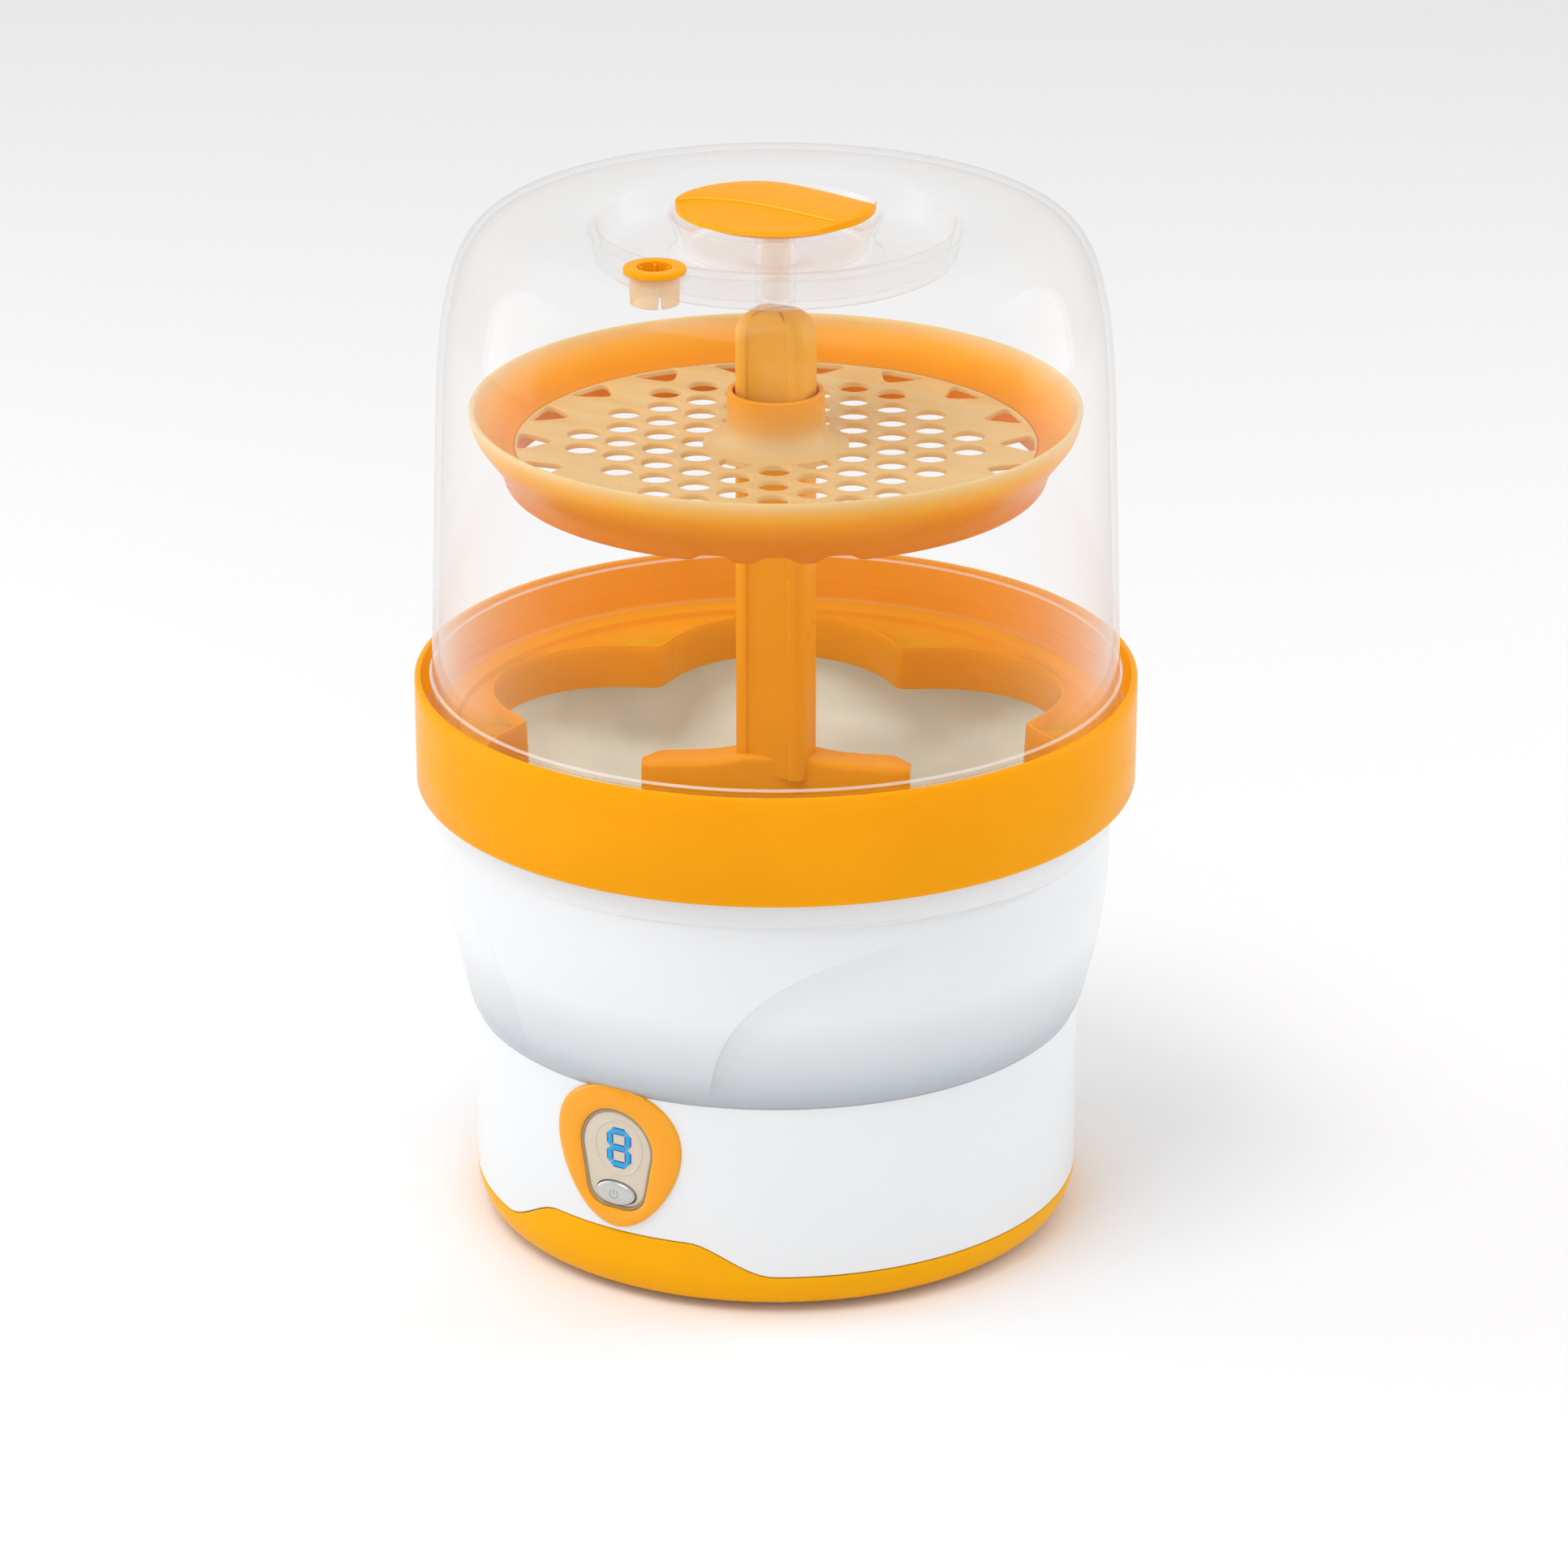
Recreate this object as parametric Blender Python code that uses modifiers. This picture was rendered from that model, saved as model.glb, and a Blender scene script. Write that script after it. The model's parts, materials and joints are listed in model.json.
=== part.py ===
"""Electric steam bottle sterilizer: a two-part housing with heater and electronics, a lobed bottle
holder ring, a centre post, an upper tray, and a clear lid with a knob and a vent plug.

Lengths are in millimetres, and the helpers turn them into metres. The origin is the centre of the
footprint on the table, +Z is up and the display faces -Y."""

from math import cos, pi, radians, sin, sqrt

import bmesh
import bpy
from mathutils import Vector

MM = 0.001
GAP = 0.3                    # clearance between pieces that rest on or fit in each other
TURN_STEPS = 32              # facets round a large turned piece
SMALL_STEPS = 12             # facets round a small turned piece

# Base tray, lower and upper housing
TRAY_BOTTOM = 2.3
BODY_R = 97.5                # outer radius of the lower housing
WALL = 2.5
SEAM_Z = 13.4                # base tray edge all round
PLATEAU_Z = 23.5             # base tray edge under the display
PLATEAU_HALF = 24.0          # half-width of the raised edge's flat part
PLATEAU_FOOT = 50.0          # half-width where the raised edge meets the low one
SKIRT_R = 94.9               # the lower housing's locating skirt inside the base tray
WAIST_Z = 71.4               # parting line between lower and upper housing
BOWL_R = 109.3               # widest radius of the upper housing
BOWL_TOP = 160.9

# Bottle holder ring
RING_R = 115.0
RING_BOTTOM = 146.4
RING_TOP = 182.0
LEDGE_Z = 165.4              # ledge that carries the lid
HOLDER_Z = 163.0             # plate with the lobed opening
HOLDER_WALL_BOTTOM = 149.0
LOBES = 6
LOBE_CENTRE_R = 62.5
LOBE_R = 37.3
LOBE_WALL = 1.8

# Reservoir and heater stack, from the floor's underside down
FLOOR_UNDER = 117.9
HEATER_HOLE_R = 34.3
HEATER_R = 41.0
HEATER_TOP = 115.4
ELEMENT_LOOP_R = 26.0
ELEMENT_TUBE_R = 3.6
ELEMENT_Z = 108.9
CLAMP_TOP = 105.0
CLAMP_THICK = 1.5
CLAMP_BOSS_X = 48.0

# Centre post, upper tray and lid
POST_WIDE, POST_DEEP = 23.8, 15.0
POST_TOP = 301.5
POST_YAW = 8.0
FOOT_YAW = 27.0
FOOT_HALF = 43.0
FOOT_TOP = 152.0
ARM_HIGH = 11.0
FOOT_BOTTOM = 120.9
TRAY_RIM_R = 96.4
TRAY_RIM_Z = 270.0
TRAY_FLOOR_Z = 257.7
TRAY_HOLE_R = 5.2
TRAY_HOLE_ROWS = [(34, 10, 2.0), (54, 16, 5.0), (74, 22, 0.9)]    # circle radius, holes, first angle
COLLAR_R = 15.5
COLLAR_BORE_R = 13.6
LID_FLOOR_Z = 319.6
LID_UNDER_Z = 317.5
LID_BOSS_BOTTOM = 303.9
KNOB_R = 31.2
KNOB_BOTTOM, KNOB_TOP = 331.2, 337.0
KNOB_LIP = 334.0             # the underside tapers in from here
KNOB_STEM_R = 4.4
VENT_RADIUS = 71.0           # how far in front of the axis the vent plug sits
VENT_STEM_R = 7.7

# Display group on the front wall
WINDOW_Z = 49.5              # middle of the display window
BEZEL_PROUD = 1.5
BUTTON_Z = 37.0
BOARD_FRONT = -84.0          # front face of the display board, along Y

BOARD_POSTS = [(x, 10 + y) for x in (-44, 44) for y in (-28, 28)]    # control board's corners
CORD_Z = 45.0                # height of the cord bush in the back wall

SCREW_ANGLES = [30 + 90 * quarter for quarter in range(4)]
FOOT_ANGLES = [45 + 90 * quarter for quarter in range(4)]
SCREW_CIRCLE = 85.0
FOOT_CIRCLE = 66.0


# ---------------------------------------------------------------- helpers

def collection(name):
    made = bpy.data.collections.new(name)
    bpy.context.scene.collection.children.link(made)
    return made


def plastic(name, colour, roughness=0.35, metallic=0.0, alpha=1.0):
    made = bpy.data.materials.new(name)
    made.use_nodes = True
    shader = made.node_tree.nodes["Principled BSDF"]
    shader.inputs["Base Color"].default_value = (*colour, 1.0)
    shader.inputs["Roughness"].default_value = roughness
    shader.inputs["Metallic"].default_value = metallic
    shader.inputs["Alpha"].default_value = alpha
    return made


def file_object(obj, material):
    """Put an object with the parts, or with the cutters when it has no material."""
    for owner in list(obj.users_collection):
        owner.objects.unlink(obj)
    if material is None:
        CUTTERS.objects.link(obj)
        obj.hide_render = True
        obj.display_type = "WIRE"
    else:
        PARTS.objects.link(obj)
        obj.data.materials.append(material)
    return obj


def turned(name, profile, material=None, steps=TURN_STEPS, on_axis=False):
    """A turned solid. The profile is (radius, height), outer side from the top down. One that
    starts and ends on the axis is left open there; any other is a closed ring section."""
    mesh = bpy.data.meshes.new(name)
    count = len(profile)
    edges = [(i, i + 1) for i in range(count - 1)]
    if not on_axis:
        edges.append((count - 1, 0))
    mesh.from_pydata([(r * MM, 0.0, z * MM) for r, z in profile], edges, [])
    obj = bpy.data.objects.new(name, mesh)
    screw = obj.modifiers.new("Turn", "SCREW")
    screw.steps = screw.render_steps = steps
    screw.use_merge_vertices = True
    screw.merge_threshold = 0.00001
    return file_object(obj, material)


def block(name, size, centre, material=None, yaw=0.0, bevel=0.0):
    """A box of the given size about its centre, turned by yaw degrees about Z."""
    bpy.ops.mesh.primitive_cube_add(size=1.0)
    obj = bpy.context.object
    obj.name = obj.data.name = name
    for vertex in obj.data.vertices:
        vertex.co = Vector([c * s * MM for c, s in zip(vertex.co, size)])
    obj.location = Vector(centre) * MM
    obj.rotation_euler.z = radians(yaw)
    if bevel:
        rounding = obj.modifiers.new("Rounded edges", "BEVEL")
        rounding.width = bevel * MM
        rounding.segments = 2
    return file_object(obj, material)


def rod(name, radius, start, end, material=None, steps=SMALL_STEPS):
    """A cylinder between two points."""
    a, b = Vector(start) * MM, Vector(end) * MM
    bpy.ops.mesh.primitive_cylinder_add(vertices=steps, radius=radius * MM, depth=(b - a).length)
    obj = bpy.context.object
    obj.name = obj.data.name = name
    obj.location = (a + b) / 2
    obj.rotation_euler = (b - a).to_track_quat("Z", "Y").to_euler()
    return file_object(obj, material)


def curve_to_mesh(curve_obj, name, material):
    """Turn a curve into a closed mesh, so that it can be cut or cut others."""
    CUTTERS.objects.link(curve_obj)
    bpy.context.view_layer.update()
    evaluated = curve_obj.evaluated_get(bpy.context.evaluated_depsgraph_get())
    mesh = bpy.data.meshes.new_from_object(evaluated)
    cleaner = bmesh.new()
    cleaner.from_mesh(mesh)
    bmesh.ops.remove_doubles(cleaner, verts=cleaner.verts, dist=0.000002)
    bmesh.ops.recalc_face_normals(cleaner, faces=cleaner.faces)
    cleaner.to_mesh(mesh)
    cleaner.free()
    mesh.materials.clear()
    obj = bpy.data.objects.new(name, mesh)
    obj.matrix_world = curve_obj.matrix_world
    bpy.data.objects.remove(curve_obj)
    return file_object(obj, material)


def prism(name, outline, low, high, material=None, upright=False):
    """An outline in the XY plane raised from low to high; upright, the outline is in XZ (front
    view) and low and high are along Y."""
    curve = bpy.data.curves.new(name, "CURVE")
    curve.dimensions = "2D"
    curve.fill_mode = "BOTH"
    curve.extrude = (high - low) / 2 * MM
    spline = curve.splines.new("POLY")
    spline.points.add(len(outline) - 1)
    for point, (u, v) in zip(spline.points, outline):
        point.co = (u * MM, v * MM, 0.0, 1.0)
    spline.use_cyclic_u = True
    obj = bpy.data.objects.new(name + "_curve", curve)
    middle = (low + high) / 2 * MM
    obj.location = (0.0, middle, 0.0) if upright else (0.0, 0.0, middle)
    obj.rotation_euler.x = radians(90) if upright else 0.0
    return curve_to_mesh(obj, name, material)


def tube(name, path, radius, material, sides=2):
    """A round wire or tube along a path of points."""
    curve = bpy.data.curves.new(name, "CURVE")
    curve.dimensions = "3D"
    curve.bevel_depth = radius * MM
    curve.bevel_resolution = sides
    curve.use_fill_caps = True
    spline = curve.splines.new("POLY")
    spline.points.add(len(path) - 1)
    for point, place in zip(spline.points, path):
        point.co = (*(c * MM for c in place), 1.0)
    return curve_to_mesh(bpy.data.objects.new(name + "_curve", curve), name, material)


def boolean(obj, other, operation):
    modifier = obj.modifiers.new(operation.title(), "BOOLEAN")
    modifier.operation = operation
    modifier.object = other


def cut(obj, *cutters):
    for cutter in cutters:
        boolean(obj, cutter, "DIFFERENCE")


def join(obj, *others):
    for other in others:
        boolean(obj, other, "UNION")


def keep(obj, region):
    boolean(obj, region, "INTERSECT")


def polar(radius, angle, height):
    """A point at a radius and an angle in degrees from +X."""
    return (radius * cos(radians(angle)), radius * sin(radians(angle)), height)


def oval(half_wide, half_high, centre_z, count=20):
    """An ellipse in front view."""
    turn = [2 * pi * i / count for i in range(count)]
    return [(half_wide * cos(t), centre_z + half_high * sin(t)) for t in turn]


def arc(x, z, radius, start, end, count):
    """Points on a circle between two angles in degrees."""
    turn = [radians(start + (end - start) * i / (count - 1)) for i in range(count)]
    return [(x + radius * cos(t), z + radius * sin(t)) for t in turn]


def egg(half_wide, half_high, centre_z, taper, count=32):
    """An upright egg in front view: an oval that is wider above its middle than below it."""
    turn = [2 * pi * i / count for i in range(count)]
    return [(half_wide * cos(t) * (1 + taper * sin(t)), centre_z + half_high * sin(t)) for t in turn]


def lobed_outline(offset, per_lobe=8):
    """The holder's opening: circles round the axis, one a bottle, that meet in cusps."""
    outline = []
    half = pi / LOBES
    for i in range(LOBES * per_lobe):
        angle = 2 * half * i / per_lobe
        off = (angle + half) % (2 * half) - half
        reach = LOBE_R + offset
        r = LOBE_CENTRE_R * cos(off) + sqrt(reach ** 2 - (LOBE_CENTRE_R * sin(off)) ** 2)
        outline.append((r * cos(angle), r * sin(angle)))
    return outline


def seam_line(lift):
    """Front view of the wavy edge between base tray and housing, left to right."""
    line = []
    for i in range(-12, 13):
        x = PLATEAU_FOOT * i / 12
        away = min(max((abs(x) - PLATEAU_HALF) / (PLATEAU_FOOT - PLATEAU_HALF), 0.0), 1.0)
        height = (1 + cos(pi * away)) / 2
        line.append((x, SEAM_Z + (PLATEAU_Z - SEAM_Z) * height + lift))
    return line


def screw(name, at, down, head_r, shaft_r, head, shaft, material):
    """A pan-head screw: its head's seat is at the given point, its shaft runs against down."""
    top = Vector(down).normalized()
    seat = Vector(at)
    obj = rod(name, shaft_r, seat - top * shaft, seat + top * 0.2, material, 10)
    cap = rod(name + "_head", head_r, seat, seat + top * head, None, 12)
    join(obj, cap)
    return obj


# ---------------------------------------------------------------- base

def base_tray(material):
    """The coloured bottom moulding with its wavy edge, board posts and holes."""
    tray = turned("base_tray", [
        (0, TRAY_BOTTOM + WALL), (90.5, TRAY_BOTTOM + WALL), (93.2, 6.7), (94.9, 9.5),
        (95.3, 11.2), (95.3, PLATEAU_Z), (BODY_R, PLATEAU_Z), (BODY_R, 13.0), (97.0, 10.0),
        (95.8, 6.2), (94.0, 3.6), (91.8, TRAY_BOTTOM), (0, TRAY_BOTTOM)],
        material, on_axis=True)
    above = [(-120, SEAM_Z)] + seam_line(0.0) + [(120, SEAM_Z), (120, 40), (-120, 40)]
    cut(tray, prism("tray_edge_front", above, -120, 0, upright=True),
        block("tray_edge_back", (240, 120.2, 40), (0, 59.9, SEAM_Z + 20)))
    for corner, (x, y) in enumerate(BOARD_POSTS):
        join(tray, rod(f"board_post_{corner}", 3.6, (x, y, TRAY_BOTTOM + 1), (x, y, 19.7)))
        cut(tray, rod(f"board_post_hole_{corner}", 1.5, (x, y, 9), (x, y, 21), steps=8))
    for angle in SCREW_ANGLES:
        cut(tray, rod("tray_screw_hole", 2.1, polar(SCREW_CIRCLE, angle, 1),
                      polar(SCREW_CIRCLE, angle, 6), steps=10))
    for angle in FOOT_ANGLES:
        cut(tray, rod("tray_foot_hole", 3.0, polar(FOOT_CIRCLE, angle, 1),
                      polar(FOOT_CIRCLE, angle, 6), steps=12))
    return tray


def rubber_feet(material):
    """Four push-in feet: a pad and a stem through the base tray."""
    for number, angle in enumerate(FOOT_ANGLES, 1):
        foot = turned(f"rubber_foot_{number}", [
            (0, 6.4), (2.4, 6.4), (2.6, 5.8), (2.6, 2.0), (8.0, 2.0), (8.4, 1.6), (8.0, 0), (0, 0)],
            material, SMALL_STEPS, on_axis=True)
        foot.location = Vector(polar(FOOT_CIRCLE, angle, 0)) * MM


def lower_housing(material):
    """The cylindrical shell: display opening, cord hole and screw bosses."""
    shell = turned("lower_housing", [
        (94.6, WAIST_Z), (BODY_R - 0.5, WAIST_Z), (BODY_R, WAIST_Z - 0.6), (BODY_R, SEAM_Z + GAP),
        (SKIRT_R, SEAM_Z + GAP), (SKIRT_R, 11.8), (92.4, 11.8), (92.4, 30), (SKIRT_R, 33),
        (SKIRT_R, 63), (92.4, 66), (92.4, 74.2), (94.6, 74.2)], material)
    plateau = turned("plateau_cutter", [(110, 40), (110, 10), (95.2, 10), (95.2, 40)])
    below = [(-PLATEAU_FOOT, 8)] + seam_line(GAP) + [(PLATEAU_FOOT, 8)]
    keep(plateau, prism("plateau_region", below, -120, -60, upright=True))
    cut(shell, plateau)
    for angle in SCREW_ANGLES:
        web = block("boss_web", (11, 9, 13), polar(88.0, angle, 23), yaw=angle)
        boss = rod("boss", 4.5, polar(SCREW_CIRCLE, angle, TRAY_BOTTOM + WALL + GAP),
                   polar(SCREW_CIRCLE, angle, 29.5))
        join(shell, web, boss)
        cut(shell, rod("boss_hole", 1.9, polar(SCREW_CIRCLE, angle, 3),
                       polar(SCREW_CIRCLE, angle, 17), steps=10))
    cut(shell, prism("bezel_opening", bezel_outline(0.4), -120, -80, upright=True))
    cut(shell, rod("cord_hole", 6.3, (0, 80, CORD_Z), (0, 120, CORD_Z)))
    for side in (-1, 1):
        join(shell, rod("display_boss", 3.0, (side * 28, -93, WINDOW_Z),
                        (side * 28, BOARD_FRONT - GAP, WINDOW_Z)))
        cut(shell, rod("display_boss_hole", 1.3, (side * 28, -90.5, WINDOW_Z),
                       (side * 28, -80, WINDOW_Z), steps=8))
    return shell


def upper_housing(material):
    """The bulging bowl-shaped shell that carries the reservoir and the bottle holder ring."""
    shell = turned("upper_housing", [
        (BOWL_R - WALL, BOWL_TOP), (BOWL_R, BOWL_TOP), (BOWL_R, 140), (109.0, 130), (107.5, 110),
        (105.0, 95), (101.5, 80), (98.4, 73.2), (BODY_R, WAIST_Z + GAP), (95.0, WAIST_Z + GAP),
        (95.2, 75.0), (98.8, 81.5), (102.4, 96), (104.9, 111), (106.4, 130),
        (BOWL_R - WALL, 140)], material)
    cut(shell, prism("bezel_notch", bezel_outline(0.4), -120, -80, upright=True))
    return shell


def base_screws(material):
    for number, angle in enumerate(SCREW_ANGLES, 1):
        screw(f"base_screw_{number}", polar(SCREW_CIRCLE, angle, TRAY_BOTTOM - 0.2), (0, 0, -1),
              3.5, 1.5, 1.6, 13.0, material)


def rating_plate(material):
    """A blank label plate under the base."""
    block("rating_plate", (44, 24, 0.4), (0, 26, TRAY_BOTTOM - 0.5), material)


def cord_bush(material):
    """Flexible strain relief in the back wall; its bore is where the mains cord leaves."""
    bush = turned("cord_bush", [
        (3.3, 14.5), (4.6, 14.5), (6.4, 1.2), (8.6, 1.2), (8.6, -0.9), (5.9, -1.2), (5.9, -4.9),
        (8.4, -5.3), (8.4, -7.0), (3.3, -7.0)], material, SMALL_STEPS)
    bush.rotation_euler.x = radians(-90)
    bush.location = Vector((0, BODY_R + 1.5, CORD_Z)) * MM


# ---------------------------------------------------------------- water and heat

def reservoir_bowl(material):
    """The water bowl: flange on the housing, sloping floor with the heater opening, two bosses."""
    bowl = turned("reservoir_bowl", [
        (103.6, 162.9), (BOWL_R, 162.9), (BOWL_R, BOWL_TOP + GAP), (105.6, BOWL_TOP + GAP),
        (105.0, 148), (103.5, 138), (98.5, 128), (90.0, 121.5), (80.0, 118.9),
        (HEATER_R + 1, FLOOR_UNDER), (HEATER_HOLE_R, FLOOR_UNDER), (HEATER_HOLE_R, 120.4),
        (80.0, 121.4), (89.0, 123.8), (96.7, 129.6), (101.5, 139), (103.0, 148), (103.6, 158)],
        material)
    for side in (-1, 1):
        join(bowl, rod("clamp_boss", 4.2, (side * CLAMP_BOSS_X, 0, CLAMP_TOP + GAP),
                       (side * CLAMP_BOSS_X, 0, 119.5)))
        cut(bowl, rod("clamp_boss_hole", 1.7, (side * CLAMP_BOSS_X, 0, 100),
                      (side * CLAMP_BOSS_X, 0, 113), steps=10))
    return bowl


def heater_stack(steel, rubber, dark):
    """Heating plate, its seal, the tubular element, the clamp bar, thermostat and fuse."""
    turned("heater_seal", [
        (HEATER_HOLE_R, FLOOR_UNDER - GAP), (HEATER_R, FLOOR_UNDER - GAP),
        (HEATER_R, HEATER_TOP + GAP), (HEATER_HOLE_R, HEATER_TOP + GAP)], rubber)
    turned("heater_plate", [
        (0, HEATER_TOP), (HEATER_R - 0.6, HEATER_TOP), (HEATER_R, HEATER_TOP - 0.6),
        (HEATER_R, 112.9), (0, 112.9)], steel, on_axis=True)
    loop = [polar(ELEMENT_LOOP_R, 105 + 330 * i / 22, ELEMENT_Z) for i in range(23)]
    first, last = loop[0], loop[-1]
    path = [(first[0], first[1], 94), (first[0], first[1], ELEMENT_Z - 3)] + loop
    path += [(last[0], last[1], ELEMENT_Z - 3), (last[0], last[1], 94)]
    tube("heater_element", path, ELEMENT_TUBE_R, steel)
    bar = block("heater_clamp", (2 * CLAMP_BOSS_X + 14, 20, CLAMP_THICK),
                (0, 0, CLAMP_TOP - CLAMP_THICK / 2), steel)
    cut(bar, rod("thermostat_hole", 7.2, (0, 0, 100), (0, 0, 110)))
    for number, side in enumerate((-1, 1), 1):
        x = side * CLAMP_BOSS_X
        cut(bar, rod("clamp_hole", 2.0, (x, 0, 100), (x, 0, 110), steps=10))
        screw(f"clamp_screw_{number}", (x, 0, CLAMP_TOP - CLAMP_THICK - GAP), (0, 0, -1),
              3.2, 1.4, 1.8, 8.0, steel)
    turned("thermostat", [
        (0, 112.5), (8.4, 112.5), (8.5, 106), (6.6, 105.6), (6.6, 99), (0, 99)],
        dark, SMALL_STEPS, on_axis=True)
    rod("thermal_fuse", 2.4, (15.5, -6, 110.0), (15.5, 6, 110.0), dark)


# ---------------------------------------------------------------- electronics

def control_board(green, dark, steel, pale):
    """The mains board on its four posts, with its large parts."""
    board = block("control_board", (98, 66, 1.6), (0, 10, 20.8), green)
    for number, (x, y) in enumerate(BOARD_POSTS, 1):
        cut(board, rod("board_hole", 1.6, (x, y, 18), (x, y, 24), steps=10))
        screw(f"board_screw_{number}", (x, y, 21.9), (0, 0, 1), 2.9, 1.1, 1.5, 9.0, steel)
    top = 21.6 + GAP
    block("transformer", (32, 27, 24), (-22, 16, top + 12), dark, bevel=1.0)
    block("relay", (19, 15.5, 15), (24, 27, top + 7.5), dark, bevel=0.5)
    rod("capacitor", 6.0, (24, 6, top), (24, 6, top + 20), dark)
    block("terminal_block", (24, 10, 12), (12, -12, top + 6), pale, bevel=0.5)
    rod("buzzer", 6.2, (-26, -12, top), (-26, -12, top + 7.5), dark)


def heater_leads(material):
    """Two insulated wires from the element's ends down to the terminal block."""
    for number, (side, angle) in enumerate(((-1, 105), (1, 75)), 1):
        end = polar(ELEMENT_LOOP_R, angle, 93.4)
        x = 12 + side * 5
        path = [end, (end[0], end[1], 82), (end[0] + side, 16, 68), (x, -10, 56),
                (x, -12, 50), (x, -12, 34.6)]
        tube(f"heater_lead_{number}", path, 1.3, material, 1)


def bezel_outline(grow):
    return egg(22.2 + grow, 24.1 + grow, 49.5, 0.22)


def window_outline(grow):
    """A tombstone: a round top over sides that draw in to two smaller rounded corners."""
    outline = arc(0, 52.4, 13.2 + grow, -6, 186, 14)
    outline += arc(-3.6, 38.9, 7.2 + grow, 188, 270, 6)
    outline += arc(3.6, 38.9, 7.2 + grow, 270, 352, 6)
    return outline


def display_group(orange, beige, silver, green, dark, blue, steel):
    """Bezel, window, push button, digit module, switch and their board on the front wall."""
    shell = [(BODY_R + BEZEL_PROUD, 90), (BODY_R + BEZEL_PROUD, 10), (95.0, 10), (95.0, 90)]
    bezel = turned("display_bezel", shell, orange)
    keep(bezel, prism("bezel_region", bezel_outline(0.0), -120, -60, upright=True))
    cut(bezel, prism("window_opening", window_outline(0.3), -120, -60, upright=True))
    window = turned("display_window", [(97.4, 90), (97.4, 10), (95.0, 10), (95.0, 90)], beige)
    keep(window, prism("window_region", window_outline(0.0), -120, -60, upright=True))
    cut(window, prism("button_opening", oval(7.7, 4.4, BUTTON_Z), -120, -60, upright=True))

    button = prism("power_button", oval(7.2, 3.9, BUTTON_Z), -98.2, -92.6, silver, upright=True)
    join(button, prism("button_flange", oval(9.4, 5.4, BUTTON_Z), -94.0, -92.6, upright=True))
    join(button, rod("button_stem", 1.8, (0, -92.8, BUTTON_Z), (0, -89.7, BUTTON_Z), steps=10))

    board = block("display_board", (62, 1.6, 42), (0, BOARD_FRONT + 0.8, WINDOW_Z), green)
    for number, side in enumerate((-1, 1), 1):
        x = side * 28
        cut(board, rod("display_hole", 1.5, (x, -88, WINDOW_Z), (x, -78, WINDOW_Z), steps=10))
        screw(f"display_screw_{number}", (x, BOARD_FRONT + 1.9, WINDOW_Z), (0, 1, 0),
              2.7, 1.0, 1.4, 7.0, steel)
    front = BOARD_FRONT - GAP
    block("digit_module", (12.6, 8.0, 19.0), (0, front - 4.0, 52.6), blue, bevel=0.4)
    switch = block("tact_switch", (6, 3.0, 6), (0, front - 1.5, BUTTON_Z), dark)
    join(switch, rod("plunger", 1.6, (0, front - 2.8, BUTTON_Z), (0, -88.2, BUTTON_Z), steps=10))


# ---------------------------------------------------------------- removable pieces

def bottle_ring(material):
    """The bottle holder: outer band with a lip, lid ledge, and a lobed walled opening."""
    ring = turned("bottle_ring", [
        (112.8, 181.4), (113.3, RING_TOP), (114.4, RING_TOP), (RING_R, 181.4), (RING_R, 147.0),
        (114.4, RING_BOTTOM), (112.4, RING_BOTTOM), (112.4, 163.3), (103.2, 163.3),
        (103.2, 160.9), (66.0, 160.9), (66.0, HOLDER_Z), (101.2, HOLDER_Z), (101.2, LEDGE_Z),
        (112.8, LEDGE_Z)], material)
    join(ring, prism("lobe_wall", lobed_outline(LOBE_WALL), HOLDER_WALL_BOTTOM, 162.5))
    cut(ring, prism("lobe_opening", lobed_outline(0.0), 140, 172))
    return ring


def centre_post(material):
    """The post that carries the upper tray: column, two arms with legs, and the tray's stop."""
    post = block("centre_post", (POST_WIDE, POST_DEEP, POST_TOP - 147),
                 (0, 0, (POST_TOP + 147) / 2), material, POST_YAW, bevel=4.0)
    arms = block("post_arms", (2 * FOOT_HALF, 14, ARM_HIGH), (0, 0, FOOT_TOP - ARM_HIGH / 2),
                 yaw=FOOT_YAW)
    join(post, arms)
    for side in (0, 180):
        leg = block("post_leg", (8, 12, FOOT_TOP - 2 - FOOT_BOTTOM),
                    polar(38.5, FOOT_YAW + side, (FOOT_TOP - 2 + FOOT_BOTTOM) / 2), yaw=FOOT_YAW)
        join(post, leg)
    join(post, block("tray_stop", (31, 8, 4), (0, 0, 253.3), yaw=POST_YAW))
    return post


def upper_tray(material):
    """The perforated tray: bowl-shaped wall, skirt and a collar that slides over the post."""
    tray = turned("upper_tray", [
        (TRAY_RIM_R - 1.6, TRAY_RIM_Z), (TRAY_RIM_R, TRAY_RIM_Z), (95.4, 265), (92.3, 260),
        (88.8, 255.5), (86.2, 250.5), (85.2, 247), (83.2, 247), (84.0, 255.7),
        (COLLAR_BORE_R, 255.7), (COLLAR_BORE_R, 275), (COLLAR_R, 275), (COLLAR_R + 0.2, 262),
        (18.5, TRAY_FLOOR_Z), (82.5, TRAY_FLOOR_Z), (86.5, 259.3), (91.0, 264)], material)
    holes = []
    for circle, count, first in TRAY_HOLE_ROWS:
        for i in range(count):
            angle = first + 360 * i / count
            holes.append(rod("tray_hole", TRAY_HOLE_R, polar(circle, angle, 250),
                             polar(circle, angle, 258.6), steps=8))
    cut(tray, merged("tray_holes", holes))
    return tray


def merged(name, objects):
    """One cutter from several that don't touch each other."""
    mesh = bmesh.new()
    for obj in objects:
        part = obj.data.copy()
        part.transform(obj.matrix_basis)
        mesh.from_mesh(part)
        bpy.data.meshes.remove(part)
        bpy.data.objects.remove(obj)
    data = bpy.data.meshes.new(name)
    mesh.to_mesh(data)
    mesh.free()
    return file_object(bpy.data.objects.new(name, data), None)


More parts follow.
